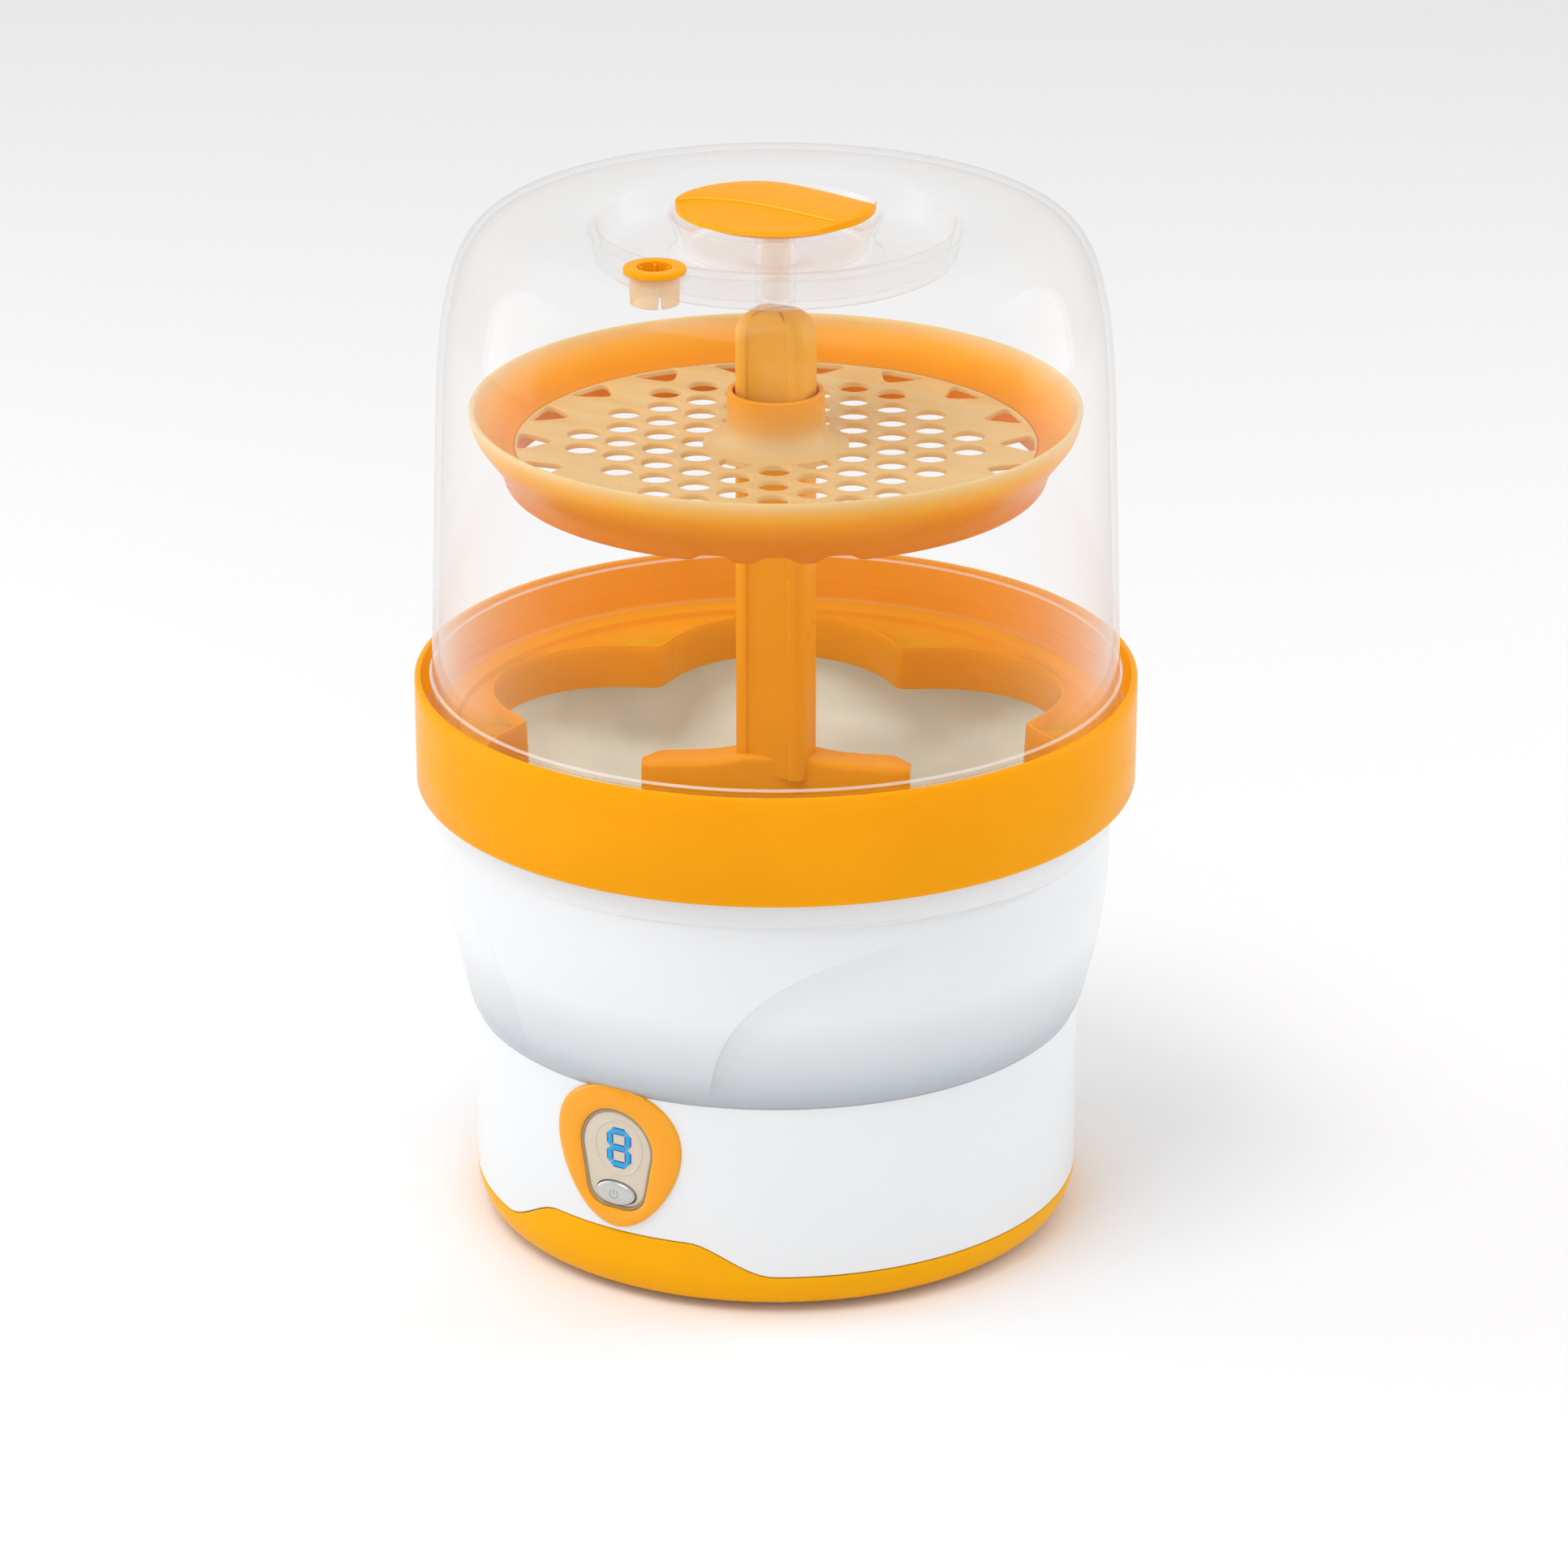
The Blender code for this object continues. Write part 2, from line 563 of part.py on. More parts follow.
def lid_dome(material):
    """The clear lid: tall wall, rounded shoulder, dished top with a cup for the knob, and a boss
    for the knob's stem."""
    cup = [(6.4, 330.6), (6.4, LID_FLOOR_Z + 1), (28.4, LID_FLOOR_Z + 1), (29.4, 326),
           (32.5, 332.5), (33.8, 332.5), (31.0, 326), (30.2, 322.5), (33, LID_FLOOR_Z)]
    outside = [(50.5, LID_FLOOR_Z), (54.4, 322.5), (55.6, 328.6), (58.5, 330.9), (70, 331.5),
               (85.0, 330.8), (93.5, 327.2), (100.3, 318), (104.8, 296), (107.6, 243),
               (110.0, 171), (111.6, 169.0), (111.6, LEDGE_Z + GAP)]
    inside = [(107.9, LEDGE_Z + GAP), (107.9, 171), (105.5, 243), (102.7, 295.5), (98.4, 316.7),
              (92.3, 325.4), (84.6, 328.7), (70, 329.4), (58.8, 328.8), (57.3, 326.6),
              (56.0, 321.2), (50.9, LID_UNDER_Z), (6.4, LID_UNDER_Z), (6.4, LID_BOSS_BOTTOM),
              (KNOB_STEM_R + GAP, LID_BOSS_BOTTOM), (KNOB_STEM_R + GAP, 330.6)]
    lid = turned("lid_dome", cup + outside + inside, material)
    cut(lid, rod("vent_hole", VENT_STEM_R + 0.4, (0, -VENT_RADIUS, 320), (0, -VENT_RADIUS, 340)))
    return lid


def lid_knob(material):
    """The knob: a leaf-shaped grip left standing between a front and a rear scoop on a disc, with
    a stem pressed into the lid's boss."""
    knob = turned("lid_knob", [
        (0, KNOB_TOP), (29.6, KNOB_TOP), (KNOB_R, KNOB_TOP - 1.2), (KNOB_R, KNOB_LIP),
        (24.5, KNOB_BOTTOM), (KNOB_STEM_R, KNOB_BOTTOM), (KNOB_STEM_R, LID_BOSS_BOTTOM), (0, LID_BOSS_BOTTOM)],
        material, on_axis=True)
    scoop = block("knob_scoop", (90, 40, 10), (0, 0, 0))
    scoop.rotation_euler = (radians(9), 0, radians(8))
    scoop.location = Vector((9.5, -32.5, KNOB_TOP + 2.8)) * MM
    cut(knob, scoop, block("rear_scoop", (90, 30, 6), (0, 32, 335.4), yaw=-2))
    return knob


def vent_plug(material):
    """The vent: a flanged, slotted sleeve pushed into the lid, with its flange on top."""
    plug = turned("vent_plug", [
        (5.4, 333.8), (9.4, 333.8), (9.7, 333.3), (9.7, 331.9), (VENT_STEM_R, 331.9),
        (VENT_STEM_R - 0.2, 322.0), (5.6, 322.0)], material, 20)
    plug.location.y = -VENT_RADIUS * MM
    for turn in (45, 135):
        cut(plug, block("vent_slot", (24, 3, 8), (0, -VENT_RADIUS, 324), yaw=turn))
    return plug


# ---------------------------------------------------------------- assembly

for leftover in list(bpy.data.objects):
    bpy.data.objects.remove(leftover)

PARTS = collection("bottle_sterilizer")
CUTTERS = collection("cutters")

ORANGE = plastic("orange plastic", (0.86, 0.38, 0.01), 0.28)
WHITE = plastic("white plastic", (0.86, 0.87, 0.88), 0.25)
CLEAR = plastic("clear polycarbonate", (0.95, 0.96, 0.96), 0.05, alpha=0.25)
BEIGE = plastic("beige plastic", (0.66, 0.58, 0.46), 0.4)
STEEL = plastic("stainless steel", (0.6, 0.6, 0.6), 0.3, 1.0)
DARK = plastic("dark moulding", (0.05, 0.05, 0.055), 0.5)
RUBBER = plastic("rubber", (0.18, 0.18, 0.18), 0.8)
GREEN = plastic("circuit board", (0.03, 0.2, 0.08), 0.5)
SILVER = plastic("silver button", (0.62, 0.62, 0.6), 0.3, 0.8)
BLUE = plastic("digit display", (0.02, 0.25, 0.8), 0.3)

base_tray(ORANGE)
rubber_feet(RUBBER)
lower_housing(WHITE)
upper_housing(WHITE)
base_screws(STEEL)
rating_plate(SILVER)
cord_bush(RUBBER)
reservoir_bowl(BEIGE)
heater_stack(STEEL, RUBBER, DARK)
control_board(GREEN, DARK, STEEL, BEIGE)
heater_leads(RUBBER)
display_group(ORANGE, BEIGE, SILVER, GREEN, DARK, BLUE, STEEL)
bottle_ring(ORANGE)
centre_post(ORANGE)
upper_tray(ORANGE)
lid_dome(CLEAR)
lid_knob(ORANGE)
vent_plug(ORANGE)

for part in PARTS.objects:
    part.data.shade_smooth()
    part.data.set_sharp_from_angle(angle=radians(35))
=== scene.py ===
"""Looks of the steam bottle sterilizer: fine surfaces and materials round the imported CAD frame.

Profiles and sizes are in millimetres and the helpers turn them into metres. +Z is up, the display
faces -Y, and positions are anchored to the boxes of the CAD nodes."""

import json
from math import cos, degrees, exp, hypot, log, pi, radians, sin, sqrt

import bmesh
import bpy
from mathutils import Matrix, Vector


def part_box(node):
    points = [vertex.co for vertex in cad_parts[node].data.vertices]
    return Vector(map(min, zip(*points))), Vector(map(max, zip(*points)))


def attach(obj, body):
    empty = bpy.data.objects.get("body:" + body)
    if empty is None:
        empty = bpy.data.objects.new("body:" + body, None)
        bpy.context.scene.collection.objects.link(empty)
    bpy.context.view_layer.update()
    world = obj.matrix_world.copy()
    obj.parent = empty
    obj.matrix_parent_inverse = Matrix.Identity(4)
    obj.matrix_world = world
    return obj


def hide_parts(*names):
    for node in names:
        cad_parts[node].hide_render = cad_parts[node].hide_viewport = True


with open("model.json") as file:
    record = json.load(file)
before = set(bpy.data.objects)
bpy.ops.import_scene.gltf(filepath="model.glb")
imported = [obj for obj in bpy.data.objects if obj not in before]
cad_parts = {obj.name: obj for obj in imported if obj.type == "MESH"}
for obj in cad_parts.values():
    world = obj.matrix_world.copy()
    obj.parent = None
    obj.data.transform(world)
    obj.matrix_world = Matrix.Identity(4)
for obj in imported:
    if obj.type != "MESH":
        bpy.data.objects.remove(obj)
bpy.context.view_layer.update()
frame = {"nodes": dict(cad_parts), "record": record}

MM = 0.001
AROUND = 192                 # columns round a large turned piece


def span(node):
    """Lowest and highest corner of a CAD node, in millimetres."""
    low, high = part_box(node)
    return low / MM, high / MM


tray_low, tray_high = span("base_tray")
lower_high = span("lower_housing")[1]
upper_low, upper_high = span("upper_housing")
ring_low, ring_high = span("bottle_ring")
bowl_high = span("reservoir_bowl")[1]
post_low, post_high = span("centre_post")
dish_low, dish_high = span("upper_tray")
lid_high = span("lid_dome")[1]
knob_high = span("lid_knob")[1]
vent_low, vent_high = span("vent_plug")
plate_low, plate_high = span("heater_plate")

BODY_R = lower_high.x        # outer radius of the cylinder
WAIST_Z = upper_low.z        # where the bowl meets the cylinder
BOWL_R = upper_high.x
RING_R = ring_high.x
RING_TOP, RING_BOTTOM = ring_high.z, ring_low.z


# ---------------------------------------- mesh helpers

def turns(count):
    """Angles spaced evenly round a full turn."""
    return [2 * pi * i / count for i in range(count)]


def from_front(radius, turn, z):
    """A point at an angle from the display's direction."""
    return (radius * sin(turn), -radius * cos(turn), z)


def smooth_step(value, low, high):
    """0 below low, 1 above high and a smooth rise between. low may also be the larger one."""
    t = min(max((value - low) / (high - low), 0.0), 1.0)
    return t * t * (3 - 2 * t)


def fillet(points, closed=True, steps=4):
    """Round the corners of a section. Each point is (r, z) or (r, z, radius)."""
    made = []
    count = len(points)
    for i, point in enumerate(points):
        here = Vector(point[:2])
        radius = point[2] if len(point) > 2 else 0.0
        if radius <= 0 or (not closed and i in (0, count - 1)):
            made.append(tuple(here))
            continue
        before, after = Vector(points[i - 1][:2]), Vector(points[(i + 1) % count][:2])
        back, on = (before - here), (after - here)
        reach = min(radius, back.length * 0.48, on.length * 0.48)
        start, end = here + back.normalized() * reach, here + on.normalized() * reach
        for step in range(steps + 1):
            t = step / steps
            made.append(tuple(start * (1 - t) ** 2 + here * 2 * t * (1 - t) + end * t * t))
    return made


def flow(points, per=5):
    """A smooth curve through points, as a Catmull-Rom spline."""
    made = []
    ends = [points[0]] + list(points) + [points[-1]]
    for a, b, c, d in zip(ends, ends[1:], ends[2:], ends[3:]):
        for step in range(per):
            t = step / per
            made.append(tuple(
                0.5 * (2 * q + (r - p) * t + (2 * p - 5 * q + 4 * r - s) * t * t
                       + (3 * q - p - 3 * r + s) * t ** 3)
                for p, q, r, s in zip(a, b, c, d)))
    made.append(tuple(points[-1]))
    return made


def placed(name, data):
    """A new object in the scene."""
    obj = bpy.data.objects.new(name, data)
    bpy.context.scene.collection.objects.link(obj)
    return obj


def shown(name, mesh, weld, outward, sharp):
    """A smooth-shaded object from a mesh, welded. outward: its faces are turned outwards."""
    tidy = bmesh.new()
    tidy.from_mesh(mesh)
    bmesh.ops.remove_doubles(tidy, verts=tidy.verts, dist=weld)
    if outward:
        bmesh.ops.recalc_face_normals(tidy, faces=tidy.faces)
    tidy.to_mesh(mesh)
    tidy.free()
    mesh.shade_smooth()
    mesh.set_sharp_from_angle(angle=radians(sharp))
    return placed(name, mesh)


def evaluated_mesh(obj):
    """A new mesh of an object with its modifiers or its bevel applied."""
    return bpy.data.meshes.new_from_object(
        obj.evaluated_get(bpy.context.evaluated_depsgraph_get()))


def loft(name, sections, wrap=True, closed=True, sharp=32.0):
    """Join sections of the same number of points, in millimetres, into a surface. closed: each
    section is a loop. wrap: the last section joins the first."""
    count = len(sections[0])
    points = [p for section in sections for p in section]
    faces = []
    for i in range(len(sections) if wrap else len(sections) - 1):
        a, b = i * count, (i + 1) % len(sections) * count
        for j in range(count if closed else count - 1):
            k = (j + 1) % count
            faces.append((a + j, b + j, b + k, a + k))
    if not wrap and closed:
        faces.append(tuple(range(count)))
        faces.append(tuple(range(len(points) - 1, len(points) - 1 - count, -1)))
    mesh = bpy.data.meshes.new(name)
    mesh.from_pydata([tuple(c * MM for c in p) for p in points], [], faces)
    return shown(name, mesh, 0.001 * MM, True, sharp)


def revolve(name, section, steps=AROUND, closed=True, sharp=32.0, centre=(0.0, 0.0)):
    """A turned piece. section is a list of (r, z), or a function of the angle that gives one."""
    rings = []
    for angle in turns(steps):
        profile = section(angle) if callable(section) else section
        rings.append([(centre[0] + r * cos(angle), centre[1] + r * sin(angle), z)
                      for r, z in profile])
    return loft(name, rings, closed=closed, sharp=sharp)


def bored(obj, outline):
    """Take a straight hole out of a piece. outline gives the points of the hole's two ends."""
    cutter = loft("cutter", outline, wrap=False)
    change = obj.modifiers.new("hole", "BOOLEAN")
    change.operation = "DIFFERENCE"
    change.solver = "EXACT"
    change.object = cutter
    mesh = evaluated_mesh(obj)
    obj.modifiers.clear()
    obj.data = mesh
    bpy.data.objects.remove(cutter)
    mesh.set_sharp_from_angle(angle=radians(40))
    return obj


def finish_piece(obj, material, body, slot, *nodes):
    """Give a piece its material and its body, and hide the CAD nodes it stands for. slot is not used.
    """
    obj.data.materials.append(material)
    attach(obj, body)
    if nodes:
        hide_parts(*nodes)
    return obj


# ---------------------------------------- materials

class Nodes:
    """A small builder for a material's node tree."""

    def __init__(self, name):
        self.material = bpy.data.materials.new(name)
        self.material.use_nodes = True
        self.tree = self.material.node_tree
        self.shader = self.tree.nodes["Principled BSDF"]
        self.coords = self.add("ShaderNodeTexCoord").outputs["Object"]

    def add(self, kind, **values):
        node = self.tree.nodes.new(kind)
        for key, value in values.items():
            setattr(node, key, value)
        return node

    def link(self, source, target):
        self.tree.links.new(source, target)

    def set(self, **values):
        for key, value in values.items():
            self.shader.inputs[key.replace("_", " ")].default_value = value

    def noise(self, scale, detail=3.0, roughness=0.5, source=None):
        node = self.add("ShaderNodeTexNoise")
        node.inputs["Scale"].default_value = scale
        node.inputs["Detail"].default_value = detail
        node.inputs["Roughness"].default_value = roughness
        self.link(source or self.coords, node.inputs["Vector"])
        return node.outputs["Fac"]

    def ramp(self, source, stops):
        node = self.add("ShaderNodeValToRGB")
        elements = node.color_ramp.elements
        while len(elements) < len(stops):
            elements.new(0.5)
        for element, (place, colour) in zip(elements, stops):
            element.position = place
            element.color = (*colour, 1.0)
        self.link(source, node.inputs["Fac"])
        return node.outputs["Color"]

    def mapped(self, source, end, low, high):
        """A value mapped from or to a range. end is From or To; the other end stays 0 to 1."""
        place = self.add("ShaderNodeMapRange")
        place.inputs[end + " Min"].default_value = low
        place.inputs[end + " Max"].default_value = high
        self.link(source, place.inputs["Value"])
        return place.outputs["Result"]

    def height(self, low, high):
        """0 to 1 up the object between two heights in millimetres."""
        split = self.add("ShaderNodeSeparateXYZ")
        self.link(self.coords, split.inputs[0])
        return self.mapped(split.outputs["Z"], "From", low * MM, high * MM)

    def multiplied(self, first, second, share):
        """The first colour multiplied by the second, by a share."""
        node = self.add("ShaderNodeMix", data_type="RGBA", blend_type="MULTIPLY")
        node.inputs["Factor"].default_value = share
        self.link(first, node.inputs["A"])
        self.link(second, node.inputs["B"])
        return node.outputs["Result"]

    def blend(self, share, first, second):
        """One shader blended into another."""
        node = self.add("ShaderNodeMixShader")
        for source, target in zip((share, first, second), node.inputs):
            self.link(source, target)
        return node.outputs[0]

    def roughness(self, low, high, scale):
        """Roughness that wanders between two values."""
        self.link(self.mapped(self.noise(scale), "To", low, high), self.shader.inputs["Roughness"])

    def bump(self, scale, strength, distance=0.0002, detail=2.0):
        node = self.add("ShaderNodeBump")
        node.inputs["Strength"].default_value = strength
        node.inputs["Distance"].default_value = distance
        self.link(self.noise(scale, detail), node.inputs["Height"])
        self.link(node.outputs["Normal"], self.shader.inputs["Normal"])


def tinted(colour, share):
    """The colour scaled by a share."""
    return tuple(c * share for c in colour)


def orange_plastic(name, colour=(0.90, 0.36, 0.006), rough=(0.2, 0.32), grain=900, scatter=0.3,
                   shine=0.03):
    """Glossy coloured polypropylene: faint mottling, fine grain and a little scatter."""
    made = Nodes(name)
    made.link(made.ramp(made.noise(28, 4), [(0.25, tinted(colour, 0.94)), (0.75, colour)]),
              made.shader.inputs["Base Color"])
    made.roughness(*rough, 60)
    made.bump(grain, 0.05)
    made.set(Subsurface_Weight=scatter, Subsurface_Scale=0.004, Specular_IOR_Level=shine)
    made.shader.inputs["Subsurface Radius"].default_value = (1.0, 0.5, 0.1)
    return made.material


def white_plastic(name, foot=None, top=None):
    """Glossy white moulding with a cool cast and a very fine orange-peel skin. Between foot and top,
    where they are given, it goes from a cool grey to white: painted shade, the shade under the bowl's
    bulge painted into the colour."""
    made = Nodes(name)
    mottle_and_painted_shade = made.ramp(made.noise(12, 3), [(0.3, (0.76, 0.78, 0.80)), (0.7, (0.79, 0.805, 0.82))])
    if foot is not None:
        # painted shade: grey at the foot rising to white at the top, standing in for the shade under
        # the bowl's bulge
        shade = made.ramp(made.height(foot, top), [
            (0.0, (0.48, 0.53, 0.57)), (0.4, (0.77, 0.80, 0.82)), (1.0, (1.0, 1.0, 1.0))])
        mottle_and_painted_shade = made.multiplied(mottle_and_painted_shade, shade, 1.0)
    made.link(mottle_and_painted_shade, made.shader.inputs["Base Color"])
    made.roughness(0.2, 0.3, 40)
    made.bump(700, 0.035)
    made.set(Coat_Weight=0.25, Coat_Roughness=0.08)
    return made.material


def clear_plastic(name, veil):
    """Clear polycarbonate: see-through face-on, more mirror-like and veiled at a grazing angle.
    veil is how milky it is face-on."""
    made = Nodes(name)
    made.link(made.ramp(made.noise(9, 3), [(0.3, (0.86, 0.87, 0.87)), (0.7, (0.95, 0.95, 0.94))]),
              made.shader.inputs["Base Color"])
    made.roughness(0.04, 0.1, 25)
    made.bump(14, 0.1, 0.0015, 1.0)
    facing = made.add("ShaderNodeLayerWeight")
    facing.inputs["Blend"].default_value = 0.5

    def share(power, low, high):
        steep = made.add("ShaderNodeMath", operation="POWER")
        steep.inputs[1].default_value = power
        made.link(facing.outputs["Facing"], steep.inputs[0])
        return made.mapped(steep.outputs[0], "To", low, high)

    through = made.add("ShaderNodeBsdfTransparent")
    through.inputs["Color"].default_value = (0.998, 0.998, 0.998, 1.0)
    shine = made.add("ShaderNodeBsdfGlossy")
    shine.inputs["Roughness"].default_value = 0.06
    glass = made.blend(share(5.0, 0.006, 0.7), through.outputs[0], shine.outputs[0])
    veiled = made.blend(share(3.0, veil, 0.32), glass, made.shader.outputs[0])
    made.link(veiled, made.tree.nodes["Material Output"].inputs["Surface"])
    return made.material


def plain_plastic(name, colour, rough=(0.35, 0.5), grain=900, metallic=0.0, alpha=1.0, strength=0.08):
    """A moulding with slight mottling, uneven gloss and a fine grain."""
    made = Nodes(name)
    made.link(made.ramp(made.noise(60, 4), [(0.3, tinted(colour, 0.9)), (0.7, colour)]),
              made.shader.inputs["Base Color"])
    made.roughness(*rough, 90)
    made.bump(grain, strength)
    made.set(Metallic=metallic, Alpha=alpha)
    return made.material


def brushed_metal(name, colour=(0.62, 0.62, 0.62)):
    """Steel with fine drawn streaks."""
    made = Nodes(name)
    stretch = made.add("ShaderNodeMapping")
    stretch.inputs["Scale"].default_value = (40.0, 900.0, 40.0)
    made.link(made.coords, stretch.inputs["Vector"])
    streaks = made.noise(3.0, 2.0, 0.6, stretch.outputs["Vector"])
    made.link(made.ramp(streaks, [(0.3, tinted(colour, 0.82)), (0.7, colour)]),
              made.shader.inputs["Base Color"])
    made.roughness(0.22, 0.4, 200)
    made.set(Metallic=1.0)
    return made.material


def lit_segments():
    """Blue glowing segments with a slightly uneven glow."""
    made = Nodes("digit_glow")
    colour = made.ramp(made.noise(400, 2), [(0.3, (0.0, 0.34, 0.74)), (0.7, (0.0, 0.44, 0.88))])
    made.link(made.ramp(made.noise(400, 2), [(0.3, (0.0, 0.05, 0.12)), (0.7, (0.0, 0.07, 0.15))]),
              made.shader.inputs["Base Color"])
    made.link(colour, made.shader.inputs["Emission Color"])
    made.set(Emission_Strength=0.72, Roughness=0.4)
    return made.material


def tray_plastic(name, low, high, stops):
    """The translucent plastic of the upper tray and post: its colour runs through the given stops up
    the height. On the tray the paler parts are painted light, as if shining through the thin moulding.
    """
    made = Nodes(name)
    mottle = made.ramp(made.noise(35, 4), [(0.25, (0.82, 0.8, 0.76)), (0.75, (1.0, 1.0, 1.0))])
    made.link(made.multiplied(made.ramp(made.height(low, high), stops), mottle, 0.35),
              made.shader.inputs["Base Color"])
    made.roughness(0.22, 0.36, 60)
    made.bump(900, 0.05)
    made.set(Subsurface_Weight=0.15, Subsurface_Scale=0.004, Specular_IOR_Level=0.1)
    made.shader.inputs["Subsurface Radius"].default_value = (1.0, 0.6, 0.2)
    return made.material


ORANGE = orange_plastic("orange_plastic")
FOOT_ORANGE = orange_plastic("foot_orange", (0.90, 0.405, 0.006))
GLOSSY_ORANGE = orange_plastic("glossy_orange", rough=(0.08, 0.14), scatter=0.2, shine=0.4)
WHITE = white_plastic("white_plastic")
# the bowl's white with painted shade, darker towards the waist
BOWL_WHITE_PAINTED_SHADE = white_plastic("bowl_white_painted_shade", upper_low.z, 104.0)
CLEAR = clear_plastic("clear_plastic", 0.002)
MILKY = clear_plastic("milky_clear_plastic", 0.16)
# a milkier veil for the bead's slopes: a painted highlight along the lid's rim
RIM_PAINTED_HIGHLIGHT = clear_plastic("clear_rim_painted_highlight", 0.42)
BEIGE = plain_plastic("reservoir_plastic", (0.89, 0.94, 0.84), (0.3, 0.45))
STEEL = brushed_metal("brushed_steel")
RUBBER = plain_plastic("rubber", (0.03, 0.03, 0.03), (0.6, 0.8), 500, strength=0.2)
DARK = plain_plastic("dark_moulding", (0.03, 0.03, 0.032))
PALE = plain_plastic("pale_moulding", (0.62, 0.58, 0.48))
BOARD = plain_plastic("circuit_board", (0.02, 0.16, 0.06), (0.3, 0.5), 300)
SLEEVE = plain_plastic("wire_sleeve", (0.5, 0.46, 0.4), (0.6, 0.8), 2500, strength=0.5)
SILVER = plain_plastic("silver_lacquer", (0.58, 0.585, 0.57), (0.25, 0.35), 1500, 0.55)
LABEL = plain_plastic("blank_label", (0.45, 0.45, 0.44), (0.3, 0.45), 1200, 0.3)
WINDOW = plain_plastic("window_plastic", (0.65, 0.57, 0.45), (0.1, 0.2), 1200, strength=0.03)
RIM = plain_plastic("window_rim", (0.36, 0.27, 0.17), (0.15, 0.25), 1200, strength=0.03)
GLOW = lit_segments()
NIGHT = plain_plastic("digit_outline", (0.004, 0.10, 0.36), (0.2, 0.3), 1500, strength=0.02)
MARK = plain_plastic("button_mark", (0.36, 0.36, 0.37), (0.4, 0.5), 1500)
FROSTED = plain_plastic("frosted_orange", (0.92, 0.62, 0.30), (0.3, 0.45), 700, alpha=0.62)
CREAM = plain_plastic("frosted_cream", (0.90, 0.78, 0.58), (0.3, 0.45), 700, alpha=0.4)
# a lighter, yellower orange: a painted highlight along the knob's crest
CREST_PAINTED_HIGHLIGHT = orange_plastic("crest_painted_highlight", (1.0, 0.52, 0.02), shine=0.4)
# the post's colour turns paler and yellower towards its top
POST = tray_plastic("post_plastic", post_low.z, post_high.z, [
    (0.0, (0.93, 0.38, 0.004)), (0.62, (0.92, 0.38, 0.006)), (0.84, (0.87, 0.43, 0.04)),
    (1.0, (0.86, 0.47, 0.09))])

CARRIED = {
    "steel": STEEL, "rubber": RUBBER, "dark_plastic": DARK, "pale_plastic": PALE,
    "circuit_board": BOARD, "wire_insulation": SLEEVE, "blank_label": LABEL,
    "orange_plastic": ORANGE, "white_plastic": WHITE, "clear_plastic": CLEAR,
    "reservoir_plastic": BEIGE, "window_plastic": WINDOW, "digit_display": GLOW,
    "silver_button": SILVER}
for row in frame["record"]["subparts"]:
    node = frame["nodes"][row["node"]]
    node.data.materials.clear()
    node.data.materials.append(CARRIED[row["material_slot"]])


# ---------------------------------------- base

SEAM_LOW, SEAM_HIGH = 13.4, tray_high.z
PLATEAU_HALF, PLATEAU_FOOT = 24.0, 50.0


def seam_height(angle):
    """Height of the edge between base tray and housing at an angle round the body."""
    if sin(angle) >= 0:
        return SEAM_LOW
    across = abs(BODY_R * cos(angle))
    return SEAM_LOW + (SEAM_HIGH - SEAM_LOW) * (1 - smooth_step(across, PLATEAU_HALF, PLATEAU_FOOT))


def base_tray():
    """The foot of the base, with the rising edge at its front."""
    def section(angle):
        edge, bottom = seam_height(angle), tray_low.z
        return fillet([
            (0, bottom + 2.5), (90.5, bottom + 2.5, 3), (95.2, 11.0, 3), (95.2, edge, 0.3),
            (BODY_R, edge, 0.6), (BODY_R, 11.6, 2), (95.8, 6.0, 3), (92.6, bottom, 2.5),
            (0, bottom)], closed=False)
    return revolve("base_tray_shell", section, closed=False)


def lower_shell():
    """The white cylinder above the base tray."""
    top = WAIST_Z - 0.15

    def section(angle):
        edge = seam_height(angle) + 0.3
        return fillet([(94.9, top), (BODY_R, top, 0.4), (BODY_R, edge, 0.6), (94.9, edge),
                       (94.9, 12.0), (92.4, 12.0), (92.4, 32.0), (94.9, 33.0)])
    return revolve("lower_housing_shell", section, 256)


CREASE_FOOT, CREASE_RISE = 19.0, 68.0    # degrees from the front at the waist; height it climbs
CREASE_SPREAD = {1: 11.5, -1: 7.3}       # how fast each crease swings round, by side
CREASE_END = {1: 106.0, -1: 66.0}        # where each one runs out under the ring, in degrees
RECESS = 2.9                             # how far the flanks lie behind the front panel


def crease_angle(side, z):
    """Degrees from the front axis to the crease at a height."""
    climbed = min(max((z - WAIST_Z) / CREASE_RISE, 0.0), 0.993)     # at 1 it would never end
    swing = -log(1 - climbed)
    return min(CREASE_FOOT + CREASE_SPREAD[side] * swing ** 1.61, CREASE_END[side])


BOWL_PROFILE = flow([(BODY_R - 0.1, WAIST_Z), (99.6, 75.5), (101.9, 81.5), (104.3, 91.0),
                     (106.4, 102.0), (107.9, 114.0), (108.9, 126.0), (BOWL_R, 138.0),
                     (BOWL_R, 147.0)], 8)


def bowl_radius(z):
    """Outer radius of the bowl's front panel at a height."""
    for (r0, z0), (r1, z1) in zip(BOWL_PROFILE, BOWL_PROFILE[1:]):
        if z <= z1:
            return r0 + (r1 - r0) * (z - z0) / max(z1 - z0, 1e-6)
    return BOWL_R


def recess_share(z):
    """The recess fades out at the waist and under the ring."""
    return smooth_step(z, WAIST_Z + 0.5, WAIST_Z + 12) * (1 - smooth_step(z, 132, 142))


